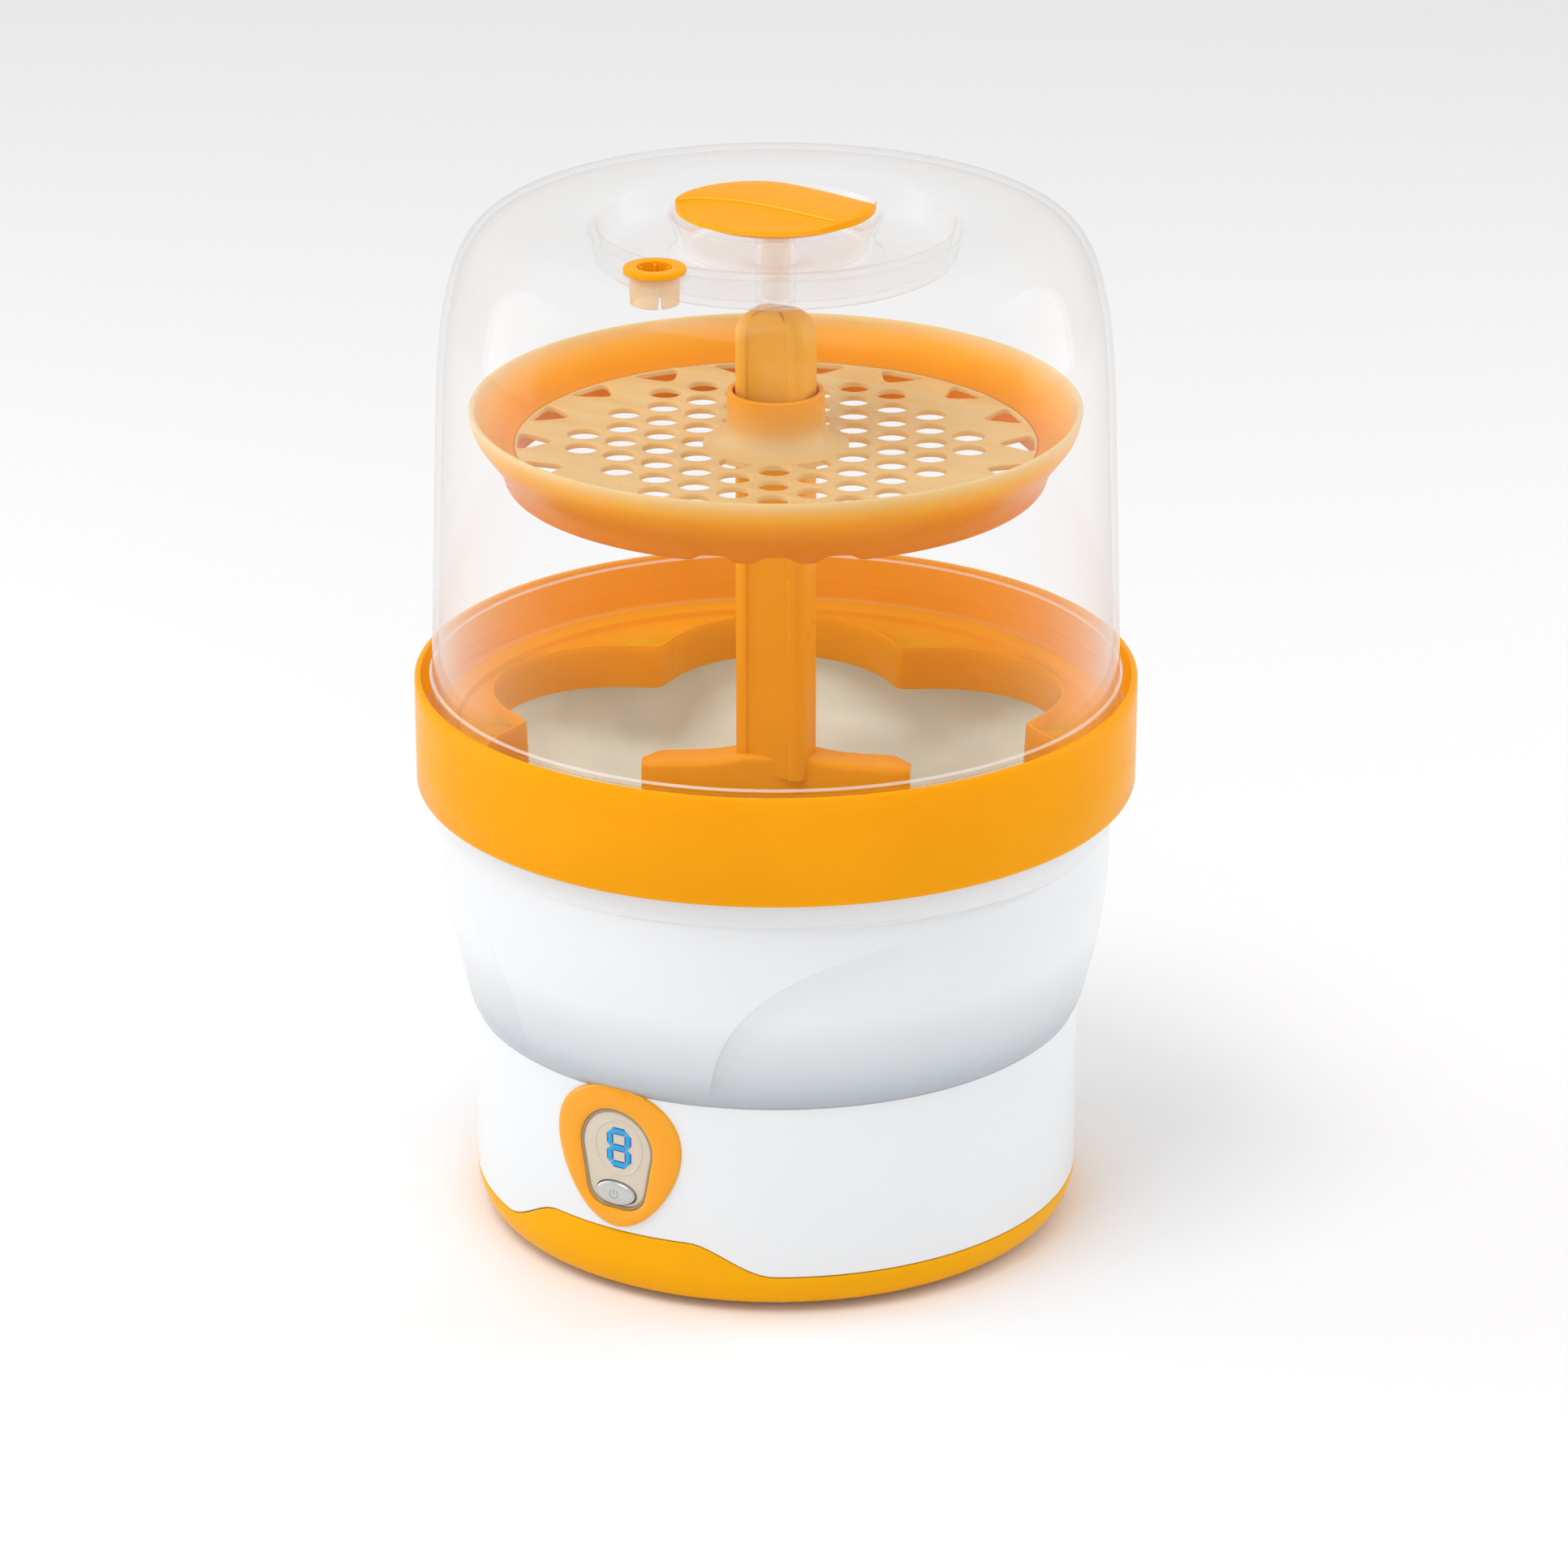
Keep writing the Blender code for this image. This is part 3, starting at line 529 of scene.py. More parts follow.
def upper_shell():
    """The bowl: a front panel between two swinging creases, with the flanks set back behind."""
    middle, top = 124.0, 147.0       # the rows lie closer above the middle
    heights = [WAIST_Z + (middle - WAIST_Z) * i / 60 for i in range(60)]
    heights += [middle + (top - middle) * i / 70 for i in range(71)]
    panel = [i / 36 for i in range(37)]
    flank = [(i / 90) ** 2.2 for i in range(1, 91)]
    rows = []

    def columns(z):
        right, left = crease_angle(1, z), crease_angle(-1, z)
        angles = [-left + (left + right) * t for t in panel]
        angles += [right + (180 - right) * t for t in flank]
        return angles + [-left - (180 - left) * t for t in reversed(flank[:-1])]

    for z in heights:
        outer = bowl_radius(z)
        row = []
        for turn in columns(z):
            side = 1 if turn >= 0 else -1
            edge = crease_angle(side, z)
            slope = radians(crease_angle(side, z + 1) - edge) * outer
            off = radians(abs(turn) - edge) * outer / sqrt(1 + slope * slope)
            depth = 0.0
            if off > 0:
                fade = 0.35 + 0.65 * exp(-off / 42)
                depth = RECESS * (1 - exp(-off / 1.1)) * fade * recess_share(z)
            row.append(from_front(outer - depth, radians(turn), z))
        rows.append(row)

    inner = [(bowl_radius(z) - 2.5 - 2.0 * recess_share(z), z) for z in reversed(heights)]
    for r, z in [(BOWL_R, 160.4), (BOWL_R - 0.5, 160.9), (BOWL_R - 2.5, 160.9)] + inner:
        rows.append([from_front(r, radians(turn), z) for turn in columns(min(z, top))])
    return loft("upper_housing_shell", rows, sharp=40)


BUTTON_Z = 37.0
BUTTON_HOLE = [[(7.5 * cos(t), y, BUTTON_Z + 4.2 * sin(t)) for t in turns(64)]
               for y in (-108.0, -88.0)]
finish_piece(base_tray(), FOOT_ORANGE, "base", "orange_plastic", "base_tray")
finish_piece(bored(lower_shell(), BUTTON_HOLE), WHITE, "base", "white_plastic", "lower_housing")
finish_piece(upper_shell(), BOWL_WHITE_PAINTED_SHADE, "base", "white_plastic", "upper_housing")


# ---------------------------------------- display group

def on_wall(across, z, radius):
    """A point given by the distance along the wall from the front axis and by its height."""
    return from_front(radius, across / BODY_R, z)


def arc(x, z, radius, start, end, count):
    """Points along an arc, from start to end in degrees."""
    turn = [radians(start + (end - start) * i / (count - 1)) for i in range(count)]
    return [(x + radius * cos(t), z + radius * sin(t)) for t in turn]


def even(outline, count):
    """The outline with its points spaced evenly."""
    loop = list(outline) + [outline[0]]
    lengths = [0.0]
    for a, b in zip(loop, loop[1:]):
        lengths.append(lengths[-1] + hypot(b[0] - a[0], b[1] - a[1]))
    made, k = [], 0
    for i in range(count):
        goal = lengths[-1] * i / count
        while lengths[k + 1] < goal:
            k += 1
        t = (goal - lengths[k]) / (lengths[k + 1] - lengths[k])
        made.append(tuple(a + (b - a) * t for a, b in zip(loop[k], loop[k + 1])))
    return made


def bezel_outline():
    """An upright egg, wider above its middle than below it."""
    return [(22.2 * cos(t) * (1 + 0.22 * sin(t)), 49.5 + 24.1 * sin(t)) for t in turns(96)]


def window_outline():
    """A tombstone shape: a wide arch over a narrower rounded foot."""
    return (arc(0, 52.4, 13.2, -6, 186, 24) + arc(-3.6, 38.9, 7.2, 188, 270, 10)
            + arc(3.6, 38.9, 7.2, 270, 352, 10))


def from_top(outline, count=120):
    """The outline evenly spaced, from its top on, so that bezel and window points pair up."""
    loop = even(outline, count)
    far_above = 200.0
    start = min(range(count), key=lambda i: hypot(loop[i][0], loop[i][1] - far_above))
    return loop[start:] + loop[:start]


BEZEL_LOOP = from_top(bezel_outline())
WINDOW_LOOP = from_top(window_outline())
WINDOW_MIDDLE = 48.7         # the height that its outline shrinks towards
FACE = BODY_R + 0.34         # the window's surface


def bezel():
    """The glossy ring round the window, domed between its two edges."""
    sections = []
    for outer, inner in zip(BEZEL_LOOP, WINDOW_LOOP):
        profile = [(0.0, -3.0), (0.0, 0.35), (0.02, 0.8), (0.06, 1.15), (0.14, 1.45), (0.3, 1.7),
                   (0.5, 1.8), (0.7, 1.75), (0.84, 1.6), (0.93, 1.35), (0.975, 1.1), (1.0, 0.75),
                   (1.0, -3.0)]
        section = []
        for share, lift in profile:
            across = outer[0] + (inner[0] - outer[0]) * share
            height = outer[1] + (inner[1] - outer[1]) * share
            section.append(on_wall(across, height, BODY_R + lift))
        sections.append(section)
    return loft("display_bezel_ring", sections)


def window_ring(share, lift):
    """The window's outline drawn in to a share of its size and raised off the wall."""
    return [on_wall(x * share, WINDOW_MIDDLE + (z - WINDOW_MIDDLE) * share, BODY_R + lift)
            for x, z in WINDOW_LOOP]


def window_panel():
    """The tinted window set down in the bezel."""
    return loft("display_window_panel", [window_ring(*at) for at in (
        (0.93, -1.2), (0.93, 0.15), (0.915, 0.24), (0.89, 0.27), (0.7, 0.32), (0.4, 0.34),
        (0.1, 0.35))], wrap=False)


def window_edge():
    """The darker step between window and bezel."""
    return loft("display_window_edge", [window_ring(*at) for at in (
        (0.992, -1.2), (0.992, 0.55), (0.975, 0.72), (0.955, 0.66), (0.94, 0.4), (0.932, 0.1),
        (0.932, -1.2))])


finish_piece(bezel(), GLOSSY_ORANGE, "base", "orange_plastic", "display_bezel")
finish_piece(bored(window_panel(), BUTTON_HOLE), WINDOW, "base", "window_plastic", "display_window")
finish_piece(window_edge(), RIM, "base", "window_plastic")

DIGIT_X, DIGIT_Z = 1.2, 52.6
DIGIT_WIDE, DIGIT_HIGH, STROKE = 6.5, 11.3, 1.5


def segment(name, u0, v0, u1, v1, stroke, proud):
    """One bar of a seven-segment digit with pointed ends, laid just over the window."""
    along = Vector((u1 - u0, v1 - v0))
    length = along.length
    along.normalize()
    side = Vector((-along.y, along.x))
    half = stroke / 2
    outline = [(0, 0), (half, half), (length - half, half), (length, 0), (length - half, -half),
               (half, -half)]
    rings = []
    for lift, grow in ((-0.5, 1.0), (proud, 1.0), (proud + 0.04, 0.86), (proud + 0.05, 0.5)):
        ring = []
        for a, s in outline:
            a = length / 2 + (a - length / 2) * (1 - (1 - grow) * stroke / length)
            point = Vector((u0, v0)) + along * a + side * s * grow
            ring.append(on_wall(point.x, point.y, FACE + lift))
        rings.append(ring)
    return loft(name, rings, wrap=False)


def joined(name, pieces):
    """One object from several."""
    for obj in bpy.context.selected_objects:
        obj.select_set(False)
    for piece in pieces:
        piece.select_set(True)
    bpy.context.view_layer.objects.active = pieces[0]
    bpy.ops.object.join()
    pieces[0].name = name
    return pieces[0]


def digit(name, stroke, proud):
    """An 8 made of seven bars."""
    left, right = DIGIT_X - DIGIT_WIDE / 2, DIGIT_X + DIGIT_WIDE / 2
    low, high = DIGIT_Z - DIGIT_HIGH / 2, DIGIT_Z + DIGIT_HIGH / 2
    gap = 0.2
    bars = [(left + gap, z, right - gap, z) for z in (low, DIGIT_Z, high)]
    for x in (left, right):
        bars.append((x, low + gap, x, DIGIT_Z - gap))
        bars.append((x, DIGIT_Z + gap, x, high - gap))
    return joined(name, [segment(f"{name}_{i}", *bar, stroke, proud) for i, bar in enumerate(bars)])


finish_piece(digit("digit_segments", STROKE, 0.16), GLOW, "base", "digit_display", "digit_module")
finish_piece(digit("digit_outline", STROKE + 0.9, 0.08), NIGHT, "base", "digit_display")


def digit_lens():
    """A thin raised ring that frames the digit's round field."""
    rings = []
    for t in turns(72):
        rings.append([on_wall(DIGIT_X - 0.4 + r * cos(t), DIGIT_Z + r * sin(t) * 1.08, FACE + lift)
                      for r, lift in ((8.9, -0.4), (8.9, 0.06), (8.7, 0.2), (8.35, 0.2),
                                      (8.15, 0.06), (8.15, -0.4))])
    return loft("digit_field_ring", rings)


finish_piece(digit_lens(), WINDOW, "base", "window_plastic")


def button():
    """The domed oval push button."""
    rings = []
    for share, y in ((0.98, -94.0), (1.0, -98.1), (0.99, -98.5), (0.95, -98.8), (0.88, -99.0),
                     (0.7, -99.2), (0.5, -99.3), (0.25, -99.34), (0.08, -99.35)):
        rings.append([(7.1 * share * cos(t), y, BUTTON_Z + 3.85 * share * sin(t))
                      for t in turns(64)])
    return loft("power_button_cap", rings, wrap=False)


def power_mark():
    """The usual on and off sign: an open ring and a short bar, thin as print."""
    back, front, half = -99.2, -99.4, 0.16

    def stroke(path):
        rings = []
        for i, (x, z) in enumerate(path):
            a, b = path[max(i - 1, 0)], path[min(i + 1, len(path) - 1)]
            dx, dz = b[0] - a[0], b[1] - a[1]
            size = hypot(dx, dz)
            nx, nz = -dz / size * half, dx / size * half
            rings.append([(x + nx, back, z + nz), (x + nx, front, z + nz),
                          (x - nx, front, z - nz), (x - nx, back, z - nz)])
        return rings

    turn = [radians(125 + 290 * i / 24) for i in range(25)]
    ring = loft("power_mark_ring",
                stroke([(1.5 * cos(t), BUTTON_Z + 1.5 * sin(t)) for t in turn]), wrap=False)
    bar = loft("power_mark_bar", stroke([(0, BUTTON_Z), (0, BUTTON_Z + 1.9)]), wrap=False)
    return ring, bar


finish_piece(button(), SILVER, "button", "silver_button", "power_button")
for mark in power_mark():
    finish_piece(mark, MARK, "button", "silver_button")


# ---------------------------------------- bowl for the water

def reservoir():
    """The bowl for the water, with a rim that rests on the housing and a seat for the plate."""
    top = bowl_high.z
    return revolve("reservoir_bowl_liner", fillet([
        (103.6, top, 0.8), (BOWL_R, top, 0.5), (BOWL_R, 161.2), (105.6, 161.2, 1), (105.0, 148),
        (103.5, 138, 6), (98.5, 128, 8), (90.0, 121.5, 6), (80.0, 118.9, 6), (42.0, 117.9),
        (34.3, 117.9), (34.3, 120.5, 0.8), (80.0, 121.4, 8), (89.0, 123.8, 6), (96.7, 129.6, 8),
        (101.5, 139, 6), (103.0, 148, 4), (103.6, 158)]))


def heater_disc():
    """The steel plate, slightly dished."""
    top = plate_high.z
    return revolve("heater_plate_disc", fillet([
        (0, top - 0.5), (20, top - 0.5, 6), (24, top, 4), (40.2, top, 0.8), (41.0, top - 0.8, 0.5),
        (41.0, plate_low.z), (0, plate_low.z)], closed=False), closed=False)


finish_piece(reservoir(), BEIGE, "base", "reservoir_plastic", "reservoir_bowl")
finish_piece(heater_disc(), STEEL, "base", "steel", "heater_plate")


# ---------------------------------------- bottle holder ring

LOBE_HALF, LOBE_CENTRE_R, LOBE_R = pi / 6, 62.5, 37.3      # six lobes round the middle
HOLDER_Z, LEDGE_Z, HOLDER_FOOT = 163.0, 165.4, 149.0


def to_cusp(angle):
    """The angle left to the nearest cusp between two lobes."""
    return LOBE_HALF - abs((angle + LOBE_HALF) % (2 * LOBE_HALF) - LOBE_HALF)


def lobe_radius(angle, offset=0.0):
    """Polar radius of the holder's opening, its cusps rounded."""
    reach = LOBE_R + offset
    rounding = 0.05
    soft = LOBE_HALF - sqrt(to_cusp(angle) ** 2 + rounding ** 2)
    return LOBE_CENTRE_R * cos(soft) + sqrt(reach ** 2 - (LOBE_CENTRE_R * sin(soft)) ** 2)


def bottle_holder():
    """The ring with its lobed plate, whose edge dips at each cusp, and the ledge for the lid."""
    def section(angle):
        hole, back = lobe_radius(angle), lobe_radius(angle, 1.8)
        cusp = smooth_step(to_cusp(angle), 0.20, 0.03)
        top = [(112.7, RING_TOP - 0.7), (113.2, RING_TOP), (114.3, RING_TOP),
               (RING_R, RING_TOP - 0.7)]
        outer = [(RING_R, 176.0), (RING_R, 160.0), (RING_R - 0.1, RING_BOTTOM + 1.2),
                 (RING_R - 0.6, RING_BOTTOM + 0.3), (RING_R - 1.2, RING_BOTTOM)]
        under = [(112.4, RING_BOTTOM), (112.4, 163.2), (103.2, 163.2), (103.2, 160.9),
                 (back + 0.6, 160.9), (back, 160.3), (back - 0.6, HOLDER_FOOT + 0.3),
                 (back - 0.9, HOLDER_FOOT), (hole - 0.3, HOLDER_FOOT), (hole - 0.5, HOLDER_FOOT + 0.3)]
        inner = [(hole, 160.8), (hole + 0.15, 162.3), (hole + 0.6, HOLDER_Z + 0.3),
                 (hole + 1.3, HOLDER_Z + 0.35), (hole + 2.0, HOLDER_Z + 0.1)]
        plate = []
        start, stop = hole + 2.6, 100.6
        for i in range(8):
            share = i / 7
            dip = 2.4 * cusp * smooth_step(share, 0.0, 0.14) * (1 - smooth_step(share, 0.62, 0.8))
            plate.append((start + (stop - start) * share, HOLDER_Z - dip))
        ledge = [(101.2, HOLDER_Z + 0.2), (101.5, HOLDER_Z + 0.7), (101.7, LEDGE_Z - 0.5),
                 (102.3, LEDGE_Z), (111.9, LEDGE_Z), (112.6, LEDGE_Z + 0.6)]
        return top + outer + under + inner + plate + ledge
    return revolve("bottle_ring_holder", section, 360, sharp=50)


finish_piece(bottle_holder(), ORANGE, "ring", "orange_plastic", "bottle_ring")


# ---------------------------------------- centre post

POST_WIDE, POST_DEEP, POST_YAW, FOOT_YAW = 23.8, 15.0, 8.0, 27.0
POST_TOP = post_high.z


def turned_about(points, yaw):
    """Points turned about the centre line by degrees."""
    c, s = cos(radians(yaw)), sin(radians(yaw))
    return [(x * c - y * s, x * s + y * c, z) for x, y, z in points]


def post_outline(wide, deep, radius, recess):
    """Rounded rectangle with a shallow channel down its front and back faces."""
    half_w, half_d = wide / 2, deep / 2
    channel = 6.6 * wide / POST_WIDE     # half its floor's width; its sides slope over 0.7
    outline = []
    for sx, sy, start in ((1, -1, -90), (1, 1, 0), (-1, 1, 90), (-1, -1, 180)):
        outline += arc(sx * (half_w - radius), sy * (half_d - radius), radius, start, start + 90, 7)
        if (sx, sy) == (1, 1):
            outline += [(channel + 0.7, half_d), (channel, half_d - recess),
                        (-channel, half_d - recess), (-channel - 0.7, half_d)]
        if (sx, sy) == (-1, -1):
            outline += [(-channel - 0.7, -half_d), (-channel, -half_d + recess),
                        (channel, -half_d + recess), (channel + 0.7, -half_d)]
    return outline


def post_column():
    """The column: straight sides under an arched, rounded top."""
    sections = []
    arch = 9.0       # height of the rounded top
    plain = post_outline(POST_WIDE, POST_DEEP, 3.6, 0.9)
    for z in (147.0, 152.0, 200.0, 260.0, POST_TOP - arch - 2):
        sections.append(turned_about([(x, y, z) for x, y in plain], POST_YAW))
    for i in range(1, 13):
        t = i / 12 * pi / 2
        z = POST_TOP - arch + arch * sin(t)
        share_w = 1 - 0.62 * (1 - cos(t)) if i < 12 else 0.36
        share_d = 1 - 0.55 * (1 - cos(t)) ** 1.4
        fade = 0.9 * (1 - smooth_step(i, 1, 6))
        wide, deep = POST_WIDE * share_w, POST_DEEP * share_d
        radius = min(3.6, wide * 0.3, deep * 0.3)
        sections.append(turned_about([(x, y, z) for x, y in
                                      post_outline(wide, deep, radius, fade)], POST_YAW))
    return loft("centre_post_column", sections, wrap=False, sharp=38)


def post_foot():
    """The bar across the foot with its two legs: a rounded beam that droops to its ends."""
    top = 152.0
    sections = []
    for i in range(41):
        u = -43 + 86 * i / 40
        end = smooth_step(abs(u), 36, 43)
        lift = 3.4 * exp(-max(abs(u) - 10, 0) / 9)
        half = 7.0 * sqrt(max(1 - end ** 2 * 0.75, 0.05))
        crown = top - 1.4 + lift - 1.2 * end
        floor = 139.6
        if 34.5 <= abs(u) <= 42.5:
            floor = post_low.z
        ring = fillet([(-half, floor, 0.8), (half, floor, 0.8), (half, crown, 2.2),
                       (-half, crown, 2.2)])
        sections.append(turned_about([(u, y, z) for y, z in ring], FOOT_YAW))
    return loft("centre_post_foot", sections, wrap=False, sharp=40)


finish_piece(post_column(), POST, "post", "orange_plastic", "centre_post")
finish_piece(post_foot(), POST, "post", "orange_plastic")


# ---------------------------------------- upper tray

DISH_RIM_R, DISH_RIM_Z, DISH_FLOOR = dish_high.x, dish_low.z + 23.0, 257.7
DISH_FOOT = dish_low.z
COLLAR_TOP = dish_high.z
SCALLOP_TURN = radians(31)   # the middle scallop's direction, from the display's

# darker and redder towards the skirt's foot; the paler band at the rim is painted light
TRAY_WALL_PAINTED_LIGHT = tray_plastic("tray_wall", DISH_FOOT, DISH_RIM_Z, [
    (0.0, (0.70, 0.20, 0.006)), (0.38, (0.76, 0.24, 0.008)), (0.62, (0.86, 0.32, 0.01)),
    (0.80, (0.88, 0.42, 0.05)), (1.0, (0.78, 0.55, 0.26))])
# painted light: the floor is paler, as if lit through the thin perforated moulding, and the collar
# above it more orange
TRAY_FLOOR_PAINTED_LIGHT = tray_plastic("tray_floor", DISH_FLOOR - 3, COLLAR_TOP, [
    (0.0, (0.74, 0.46, 0.17)), (0.30, (0.72, 0.52, 0.26)), (0.62, (0.80, 0.42, 0.1)),
    (1.0, (0.86, 0.35, 0.02))])


def tray_wall():
    """The dished wall with its rim and skirt; three small scallops cut the skirt at the front."""
    def section(angle):
        across = degrees((angle + pi / 2 - SCALLOP_TURN + pi) % (2 * pi) - pi)
        scallop = 0.0
        for centre in (-13.0, 0.0, 13.0):
            scallop = max(scallop, 2.0 * (1 - smooth_step(abs(across - centre), 2.0, 5.2)))
        foot = DISH_FOOT + scallop
        return ([(DISH_RIM_R - 1.7, DISH_RIM_Z - 0.3), (DISH_RIM_R - 1.2, DISH_RIM_Z),
                 (DISH_RIM_R - 0.4, DISH_RIM_Z), (DISH_RIM_R, DISH_RIM_Z - 0.5)]
                + flow([(DISH_RIM_R - 0.3, 267.5), (94.9, 263.5), (92.0, 259.2), (89.0, 255.4),
                        (86.7, 251.6), (85.4, foot + 0.6)], 4)
                + [(85.0, foot), (83.6, foot), (83.3, foot + 0.4)]
                + [(84.2, 252.5), (85.0, 255.7), (82.0, 255.7), (82.0, DISH_FLOOR), (83.6, DISH_FLOOR)]
                + flow([(85.2, 258.2), (88.6, 260.8), (91.8, 264.2), (94.2, 268.2)], 4))
    return revolve("upper_tray_wall", section, 360, sharp=50)


def circle(x, y, radius, count=20):
    """A round outline."""
    return [(x + radius * cos(t), y + radius * sin(t)) for t in turns(count)]


HOLE_R, HOLE_PITCH, ROW_SHARE = 5.25, 14.0, 0.866      # ROW_SHARE: row spacing over pitch
HOLES_FROM, HOLES_TO = 23.5, 63.5                      # the round holes' reach from the middle
CORNER_HOLES, CORNER_HOLE_R = 18, 76.4


def corner_hole(radius, angle):
    """A rounded triangle with its broad side outwards."""
    shape = fillet([(-7.6, 0.0, 4.5), (4.9, -9.6, 5.2), (4.9, 9.6, 5.2)], steps=6)
    c, s = cos(angle), sin(angle)
    return [(radius * c + x * c - y * s, radius * s + x * s + y * c) for x, y in shape]


def tray_floor():
    """The perforated floor, with rounded hole edges from a bevelled outline."""
    outlines = [circle(0, 0, 83.0, 180), circle(0, 0, 15.2, 48)]
    for row in range(-6, 7):
        for column in range(-6, 7):
            x = HOLE_PITCH * (column + 0.5 * (row % 2))
            y = HOLE_PITCH * ROW_SHARE * row
            if HOLES_FROM < hypot(x, y) < HOLES_TO:
                outlines.append(circle(x, y, HOLE_R))
    for i in range(CORNER_HOLES):
        outlines.append(corner_hole(CORNER_HOLE_R, 2 * pi * (i + 0.5) / CORNER_HOLES))
    rounding = 0.45
    curve = bpy.data.curves.new("upper_tray_floor", "CURVE")
    curve.dimensions = "2D"
    curve.fill_mode = "BOTH"
    curve.extrude = 0.55 * MM
    curve.bevel_depth = rounding * MM
    curve.bevel_resolution = 2
    curve.offset = -rounding * MM
    for outline in outlines:
        spline = curve.splines.new("POLY")
        spline.points.add(len(outline) - 1)
        for point, (x, y) in zip(spline.points, outline):
            point.co = (x * MM, y * MM, 0.0, 1.0)
        spline.use_cyclic_u = True
    flat = placed("floor_outline", curve)
    flat.location.z = (DISH_FLOOR - 1.0) * MM
    bpy.context.view_layer.update()
    mesh = evaluated_mesh(flat)
    mesh.transform(flat.matrix_world)
    bpy.data.objects.remove(flat)
    mesh.materials.clear()
    return shown("upper_tray_floor", mesh, 0.002 * MM, False, 40)


def tray_collar():
    """The sleeve that slides over the post."""
    return revolve("upper_tray_collar", fillet([
        (13.6, 255.7), (13.6, COLLAR_TOP, 0.5), (15.4, COLLAR_TOP, 0.5), (15.7, 263, 4),
        (18.2, DISH_FLOOR + 0.6, 4), (23, DISH_FLOOR - 0.1), (23, 255.8)]), 96)


dish = finish_piece(tray_wall(), TRAY_WALL_PAINTED_LIGHT, "tray", "orange_plastic", "upper_tray")
grid = finish_piece(tray_floor(), TRAY_FLOOR_PAINTED_LIGHT, "tray", "orange_plastic")
dish.visible_shadow = grid.visible_shadow = False   # the thin moulding lets most light through
finish_piece(tray_collar(), TRAY_FLOOR_PAINTED_LIGHT, "tray", "orange_plastic")


# ---------------------------------------- lid

LID_FLOOR, LID_UNDER, BOSS_FOOT = 319.6, 317.5, 303.9
LID_REST = LEDGE_Z + 0.3


def lid():
    """One clear moulding: wall with a bead over the ring, shoulder, dished top, the cup round the
    knob and the boss."""
    cup_top = lid_high.z
    cup = fillet([(6.4, 330.6, 0.5), (6.4, LID_FLOOR + 1, 1.5), (28.4, LID_FLOOR + 1, 3),
                  (28.8, 323, 2), (29.8, 326.5, 3), (32.6, cup_top, 0.4), (33.8, cup_top, 0.5),
                  (31.4, 326.5, 4), (30.4, 322.8, 2), (34.0, LID_FLOOR, 2.5)], closed=False)[1:]
    dish = fillet([(50.0, LID_FLOOR), (54.2, LID_FLOOR + 0.2, 3.5), (55.8, 330.6, 2.2),
                   (62, 331.2)], closed=False)
    shoulder = flow([(66, 331.4), (78, 331.5), (86.0, 330.4), (92.4, 327.3), (97.2, 322.3),
                     (100.6, 315.2), (103.0, 306.0), (104.9, 295.0), (106.4, 275.0),
                     (107.5, 243.0), (108.7, 208.0), (109.4, 186.0)], 6)
    bead = fillet([(109.5, RING_TOP + 1.4), (110.3, RING_TOP + 0.8, 0.25),
                   (110.3, RING_TOP - 0.6, 0.25), (109.6, RING_TOP - 1.2)], closed=False)
    flange = fillet([(109.8, 172.5), (110.0, 171.2, 0.6), (111.6, 170.4, 0.6),
                     (111.6, LID_REST, 0.5), (107.7, LID_REST, 0.3), (107.7, 172.0)],
                    closed=False)
    inside = flow([(107.5, 178.0), (106.6, 208.0), (105.4, 243.0), (104.3, 275.0),
                   (102.8, 294.6), (100.9, 305.3), (98.6, 314.2), (95.4, 320.8), (91.2, 325.4),
                   (85.4, 328.3), (78, 329.4), (66, 329.3)], 6)
    under = fillet([(62, 329.1), (58.0, 328.6, 2), (56.4, LID_UNDER, 4), (6.4, LID_UNDER, 2),
                    (6.4, BOSS_FOOT, 0.5), (4.7, BOSS_FOOT), (4.7, 330.6)], closed=False)
    return revolve("lid_dome_shell", cup + dish + shoulder + bead + flange + inside + under,
                   256, sharp=50)


VENT_Y = (vent_low.y + vent_high.y) / 2
VENT_HOLE = [[(8.1 * cos(t), VENT_Y + 8.1 * sin(t), z) for t in turns(48)]
             for z in (322.0, 336.0)]
dome = finish_piece(bored(lid(), VENT_HOLE), CLEAR, "lid", "clear_plastic", "lid_dome")
dome.data.materials.append(MILKY)
dome.data.materials.append(RIM_PAINTED_HIGHLIGHT)
# the paler veil on the bead's slopes is a painted highlight along the lid's rim
for face in dome.data.polygons:   # the knob's cup is milkier, the bead's slopes are paler
    reach, height = face.center.xy.length / MM, face.center.z / MM
    if reach < 34.3 and height > LID_FLOOR + 1.5:
        face.material_index = 1
    elif reach > 109.2 and abs(height - RING_TOP) < 1.5 and abs(face.normal.z) > 0.2:
        face.material_index = 2
dome.visible_shadow = False


def between(points, x):
    """Straight-line value at x along points sorted by x."""
    for (x0, y0), (x1, y1) in zip(points, points[1:]):
        if x <= x1:
            return y0 + (y1 - y0) * max(x - x0, 0) / (x1 - x0)
    return points[-1][1]


KNOB_YAW = 31.0              # the knob's turn from the display's direction
CREST = flow([(-31.3, 0.6), (-27.0, 2.0), (-22.0, 2.4), (-13.0, 0.0), (0.0, -7.6), (11.0, -16.6),
              (20.2, -23.8), (31.3, -32.0)])
BACK_EDGE = flow([(-31.3, 0.8), (-29.6, 6.0), (-26.6, 11.0), (-22.0, 15.6), (-16.0, 19.2),
                  (-8.0, 21.2), (0.0, 20.2), (7.0, 16.2), (14.0, 10.6), (22.0, 3.6), (31.3, -5.4)])


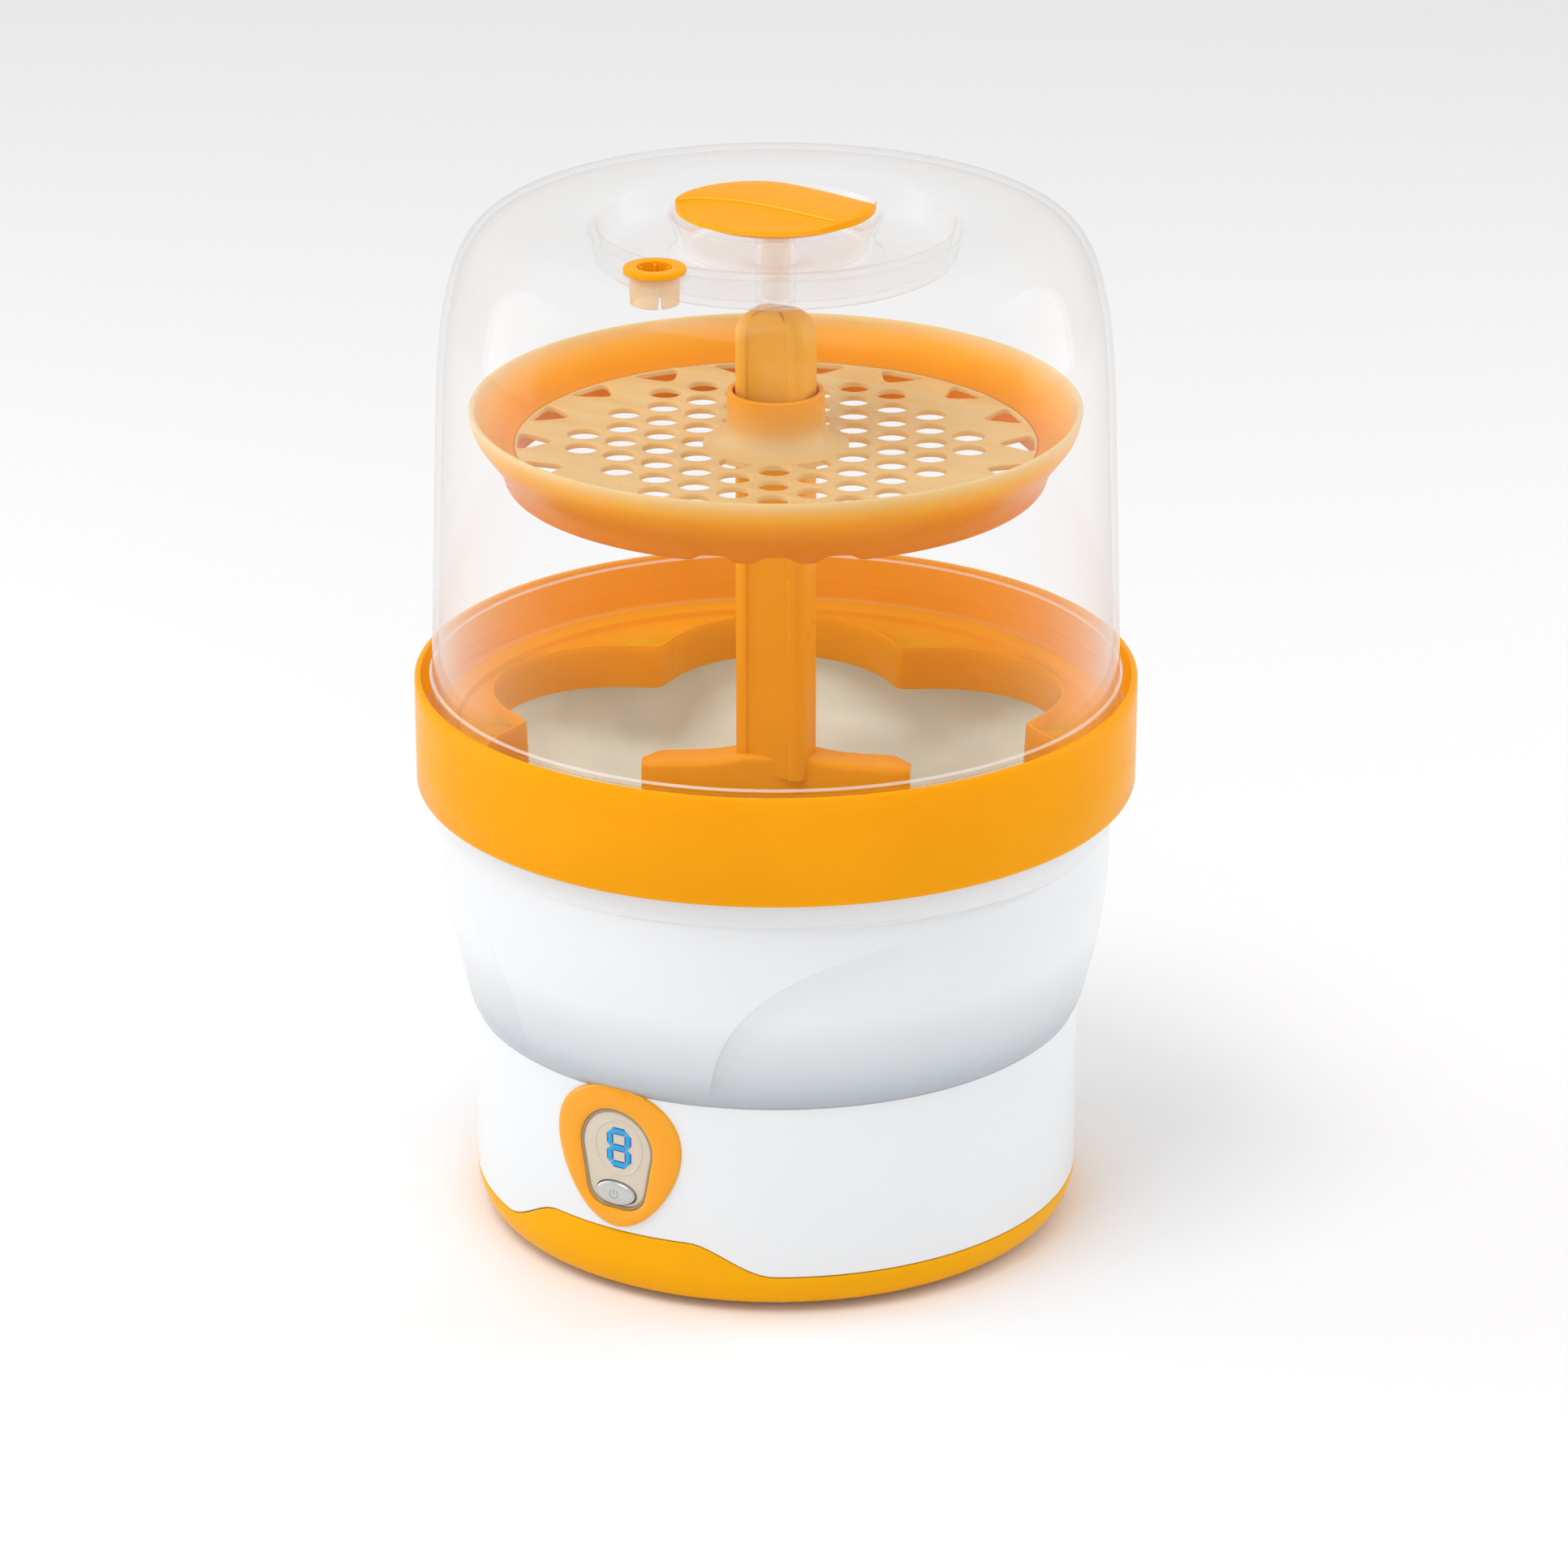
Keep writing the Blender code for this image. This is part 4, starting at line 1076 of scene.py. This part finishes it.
def knob():
    """The knob: a raised leaf between a scooped front and a scooped back. Its surface runs in
    strips that follow the leaf's two edges."""
    disc_r, top, lip, foot, sink = knob_high.x, knob_high.z, 334.6, 331.3, 332.4
    tuck, rear = 24.5 / disc_r, 27.3 / disc_r    # underside and rear rim, as shares of the disc
    sections = []
    for i in range(1, 128):
        x = -disc_r * cos(pi * i / 128)
        reach = sqrt(disc_r ** 2 - x * x)
        crest = min(max(between(CREST, x), -reach), reach)
        back = min(max(between(BACK_EDGE, x), crest), reach)
        low = lip - 0.5 if crest > -reach + 0.05 else top - 1.2
        lane = [(x * tuck, -reach * tuck, foot), (x, -reach, min(low, 334.1)), (x, -reach, low)]
        for k in range(1, 17):           # front scoop, rim to crest
            t = k / 16
            y = -reach + (crest + reach) * t
            drop = (top - 0.55 - lip) * min((crest + reach) / 16.0, 1.0)
            lane.append((x, y, top - 0.55 - drop * (1 - t) ** 0.5 if t < 1 else top - 0.55))
        for k in range(13):              # leaf, crest to back edge
            t = k / 12
            y = crest + (back - crest) * t
            bulge = 0.5 * (1 - (2 * t - 1) ** 4)
            lane.append((x, y + 0.02 * (k == 0), top - 0.5 + bulge * min((back - crest) / 8, 1.0)))
        for t, z in ((0.02, top - 0.9), (0.06, top - 2.2), (0.12, top - 3.4), (0.22, top - 4.2),
                     (0.4, sink + 0.3), (0.7, sink), (1.0, sink)):
            lane.append((x * (1 - (1 - rear) * t), back + (reach * rear - back) * t, max(z, sink)))
        lane.append((x * tuck, reach * tuck, foot))
        sections.append(lane)
    obj = loft("lid_knob_cap", sections, wrap=False, sharp=24)
    obj.data.transform(Matrix.Rotation(radians(KNOB_YAW), 4, "Z"))
    return obj


def knob_crest():
    """The fine raised edge along the leaf's crest, in a lighter orange that is a painted highlight."""
    rings = []
    for x, y in CREST[2:]:
        if hypot(x, y) > knob_high.x - 0.6:
            continue
        rings.append([(x + 0.1 * cos(t), y + 0.45 * cos(t), knob_high.z - 0.6 + 0.3 * sin(t))
                      for t in turns(10)])
    obj = loft("lid_knob_crest", rings, wrap=False)
    obj.data.transform(Matrix.Rotation(radians(KNOB_YAW), 4, "Z"))
    return obj


def knob_stem():
    """The knob's stem in the lid's boss."""
    return revolve("lid_knob_stem", fillet([
        (0, 331.4), (4.4, 331.4), (4.4, 305.0, 1.5), (0, 304.6)], closed=False), 48, closed=False)


def vent_flange():
    """The vent plug's flange, with six small ribs in its hole."""
    top = vent_high.z

    def section(angle):
        hole = 5.4 - 1.0 * smooth_step(cos(6 * angle), 0.72, 0.86)
        return fillet([(5.4, top, 0.5), (9.6, top, 0.8), (9.6, 331.95, 0.4), (6.8, 331.9, 0.2),
                       (5.3, 328.5), (hole, 328.7), (hole, 332.6), (5.4, 333.0)])
    return revolve("vent_plug_flange", section, 144, centre=(0.0, VENT_Y))


def vent_sleeve():
    """The vent plug's sleeve below the flange, with four slots up from its foot."""
    def section(angle):
        foot = 326.5 if abs(cos(2 * angle)) < 0.1 else 322.2
        return fillet([(6.9, 331.8), (7.7, 331.7, 0.3), (7.5, foot, 0.3), (6.3, foot, 0.3)])
    return revolve("vent_plug_sleeve", section, 144, centre=(0.0, VENT_Y))


finish_piece(knob(), ORANGE, "lid", "orange_plastic", "lid_knob")
finish_piece(knob_crest(), CREST_PAINTED_HIGHLIGHT, "lid", "orange_plastic")
stem = finish_piece(knob_stem(), CREAM, "lid", "orange_plastic")
stem.visible_shadow = False
finish_piece(vent_flange(), ORANGE, "vent", "orange_plastic", "vent_plug")
finish_piece(vent_sleeve(), FROSTED, "vent", "orange_plastic")


# ---------------------------------------- stage, light and camera

def floor():
    """A plain pale ground."""
    bpy.ops.mesh.primitive_plane_add(size=12.0, location=(0, 0, 0))
    ground = bpy.context.object
    ground.name = "floor"
    material = bpy.data.materials.new("floor")
    material.use_nodes = True
    shader = material.node_tree.nodes["Principled BSDF"]
    shader.inputs["Base Color"].default_value = (0.88, 0.88, 0.885, 1.0)
    shader.inputs["Roughness"].default_value = 0.9
    ground.data.materials.append(material)


def soft_light(name, place, aim, size, power):
    """A rectangular lamp that points at a place."""
    lamp = bpy.data.lights.new(name, "AREA")
    lamp.shape = "RECTANGLE"
    lamp.size, lamp.size_y = size
    lamp.energy = power
    obj = placed(name, lamp)
    obj.location = place
    obj.rotation_euler = (Vector(aim) - Vector(place)).to_track_quat("-Z", "Y").to_euler()


CAMERA_TURN = radians(31.0)
CAMERA_REACH, CAMERA_HEIGHT = 1.975, 0.920
CAMERA_PITCH = radians(21.5)
CAMERA_LENS = 152.0
SIDE_OFFSET = radians(0.0738)    # the object stands a little left of the frame's middle


def around(turn, reach, height):
    """A place in metres round the object, turned by degrees from the camera's direction."""
    return from_front(reach, CAMERA_TURN + radians(turn), height)


def camera():
    """A long lens, turned to the side and tilted down."""
    data = bpy.data.cameras.new("camera")
    data.lens = CAMERA_LENS
    data.sensor_width = 36.0
    obj = placed("camera", data)
    obj.location = around(0, CAMERA_REACH, CAMERA_HEIGHT)
    obj.rotation_euler = (pi / 2 - CAMERA_PITCH, 0.0, CAMERA_TURN - SIDE_OFFSET)
    bpy.context.scene.camera = obj


floor()
world = bpy.data.worlds.new("studio")
world.use_nodes = True
sky = world.node_tree.nodes["Background"]
sky.inputs["Color"].default_value = (1.0, 1.0, 1.0, 1.0)
sky.inputs["Strength"].default_value = 0.75
bpy.context.scene.world = world
middle = (0.0, 0.0, 0.17)     # what the lamps point at
soft_light("key", around(-38, 1.05, 2.2), middle, (1.1, 1.1), 18)
soft_light("left", around(-100, 1.5, 0.6), middle, (0.8, 1.2), 7)
soft_light("right", around(104, 1.5, 0.6), middle, (0.8, 1.2), 6)
soft_light("front", around(8, 2.2, 0.8), middle, (1.0, 0.8), 4)
camera()
bpy.context.scene.view_settings.view_transform = "Standard"
bpy.context.scene.cycles.transparent_max_bounces = 40
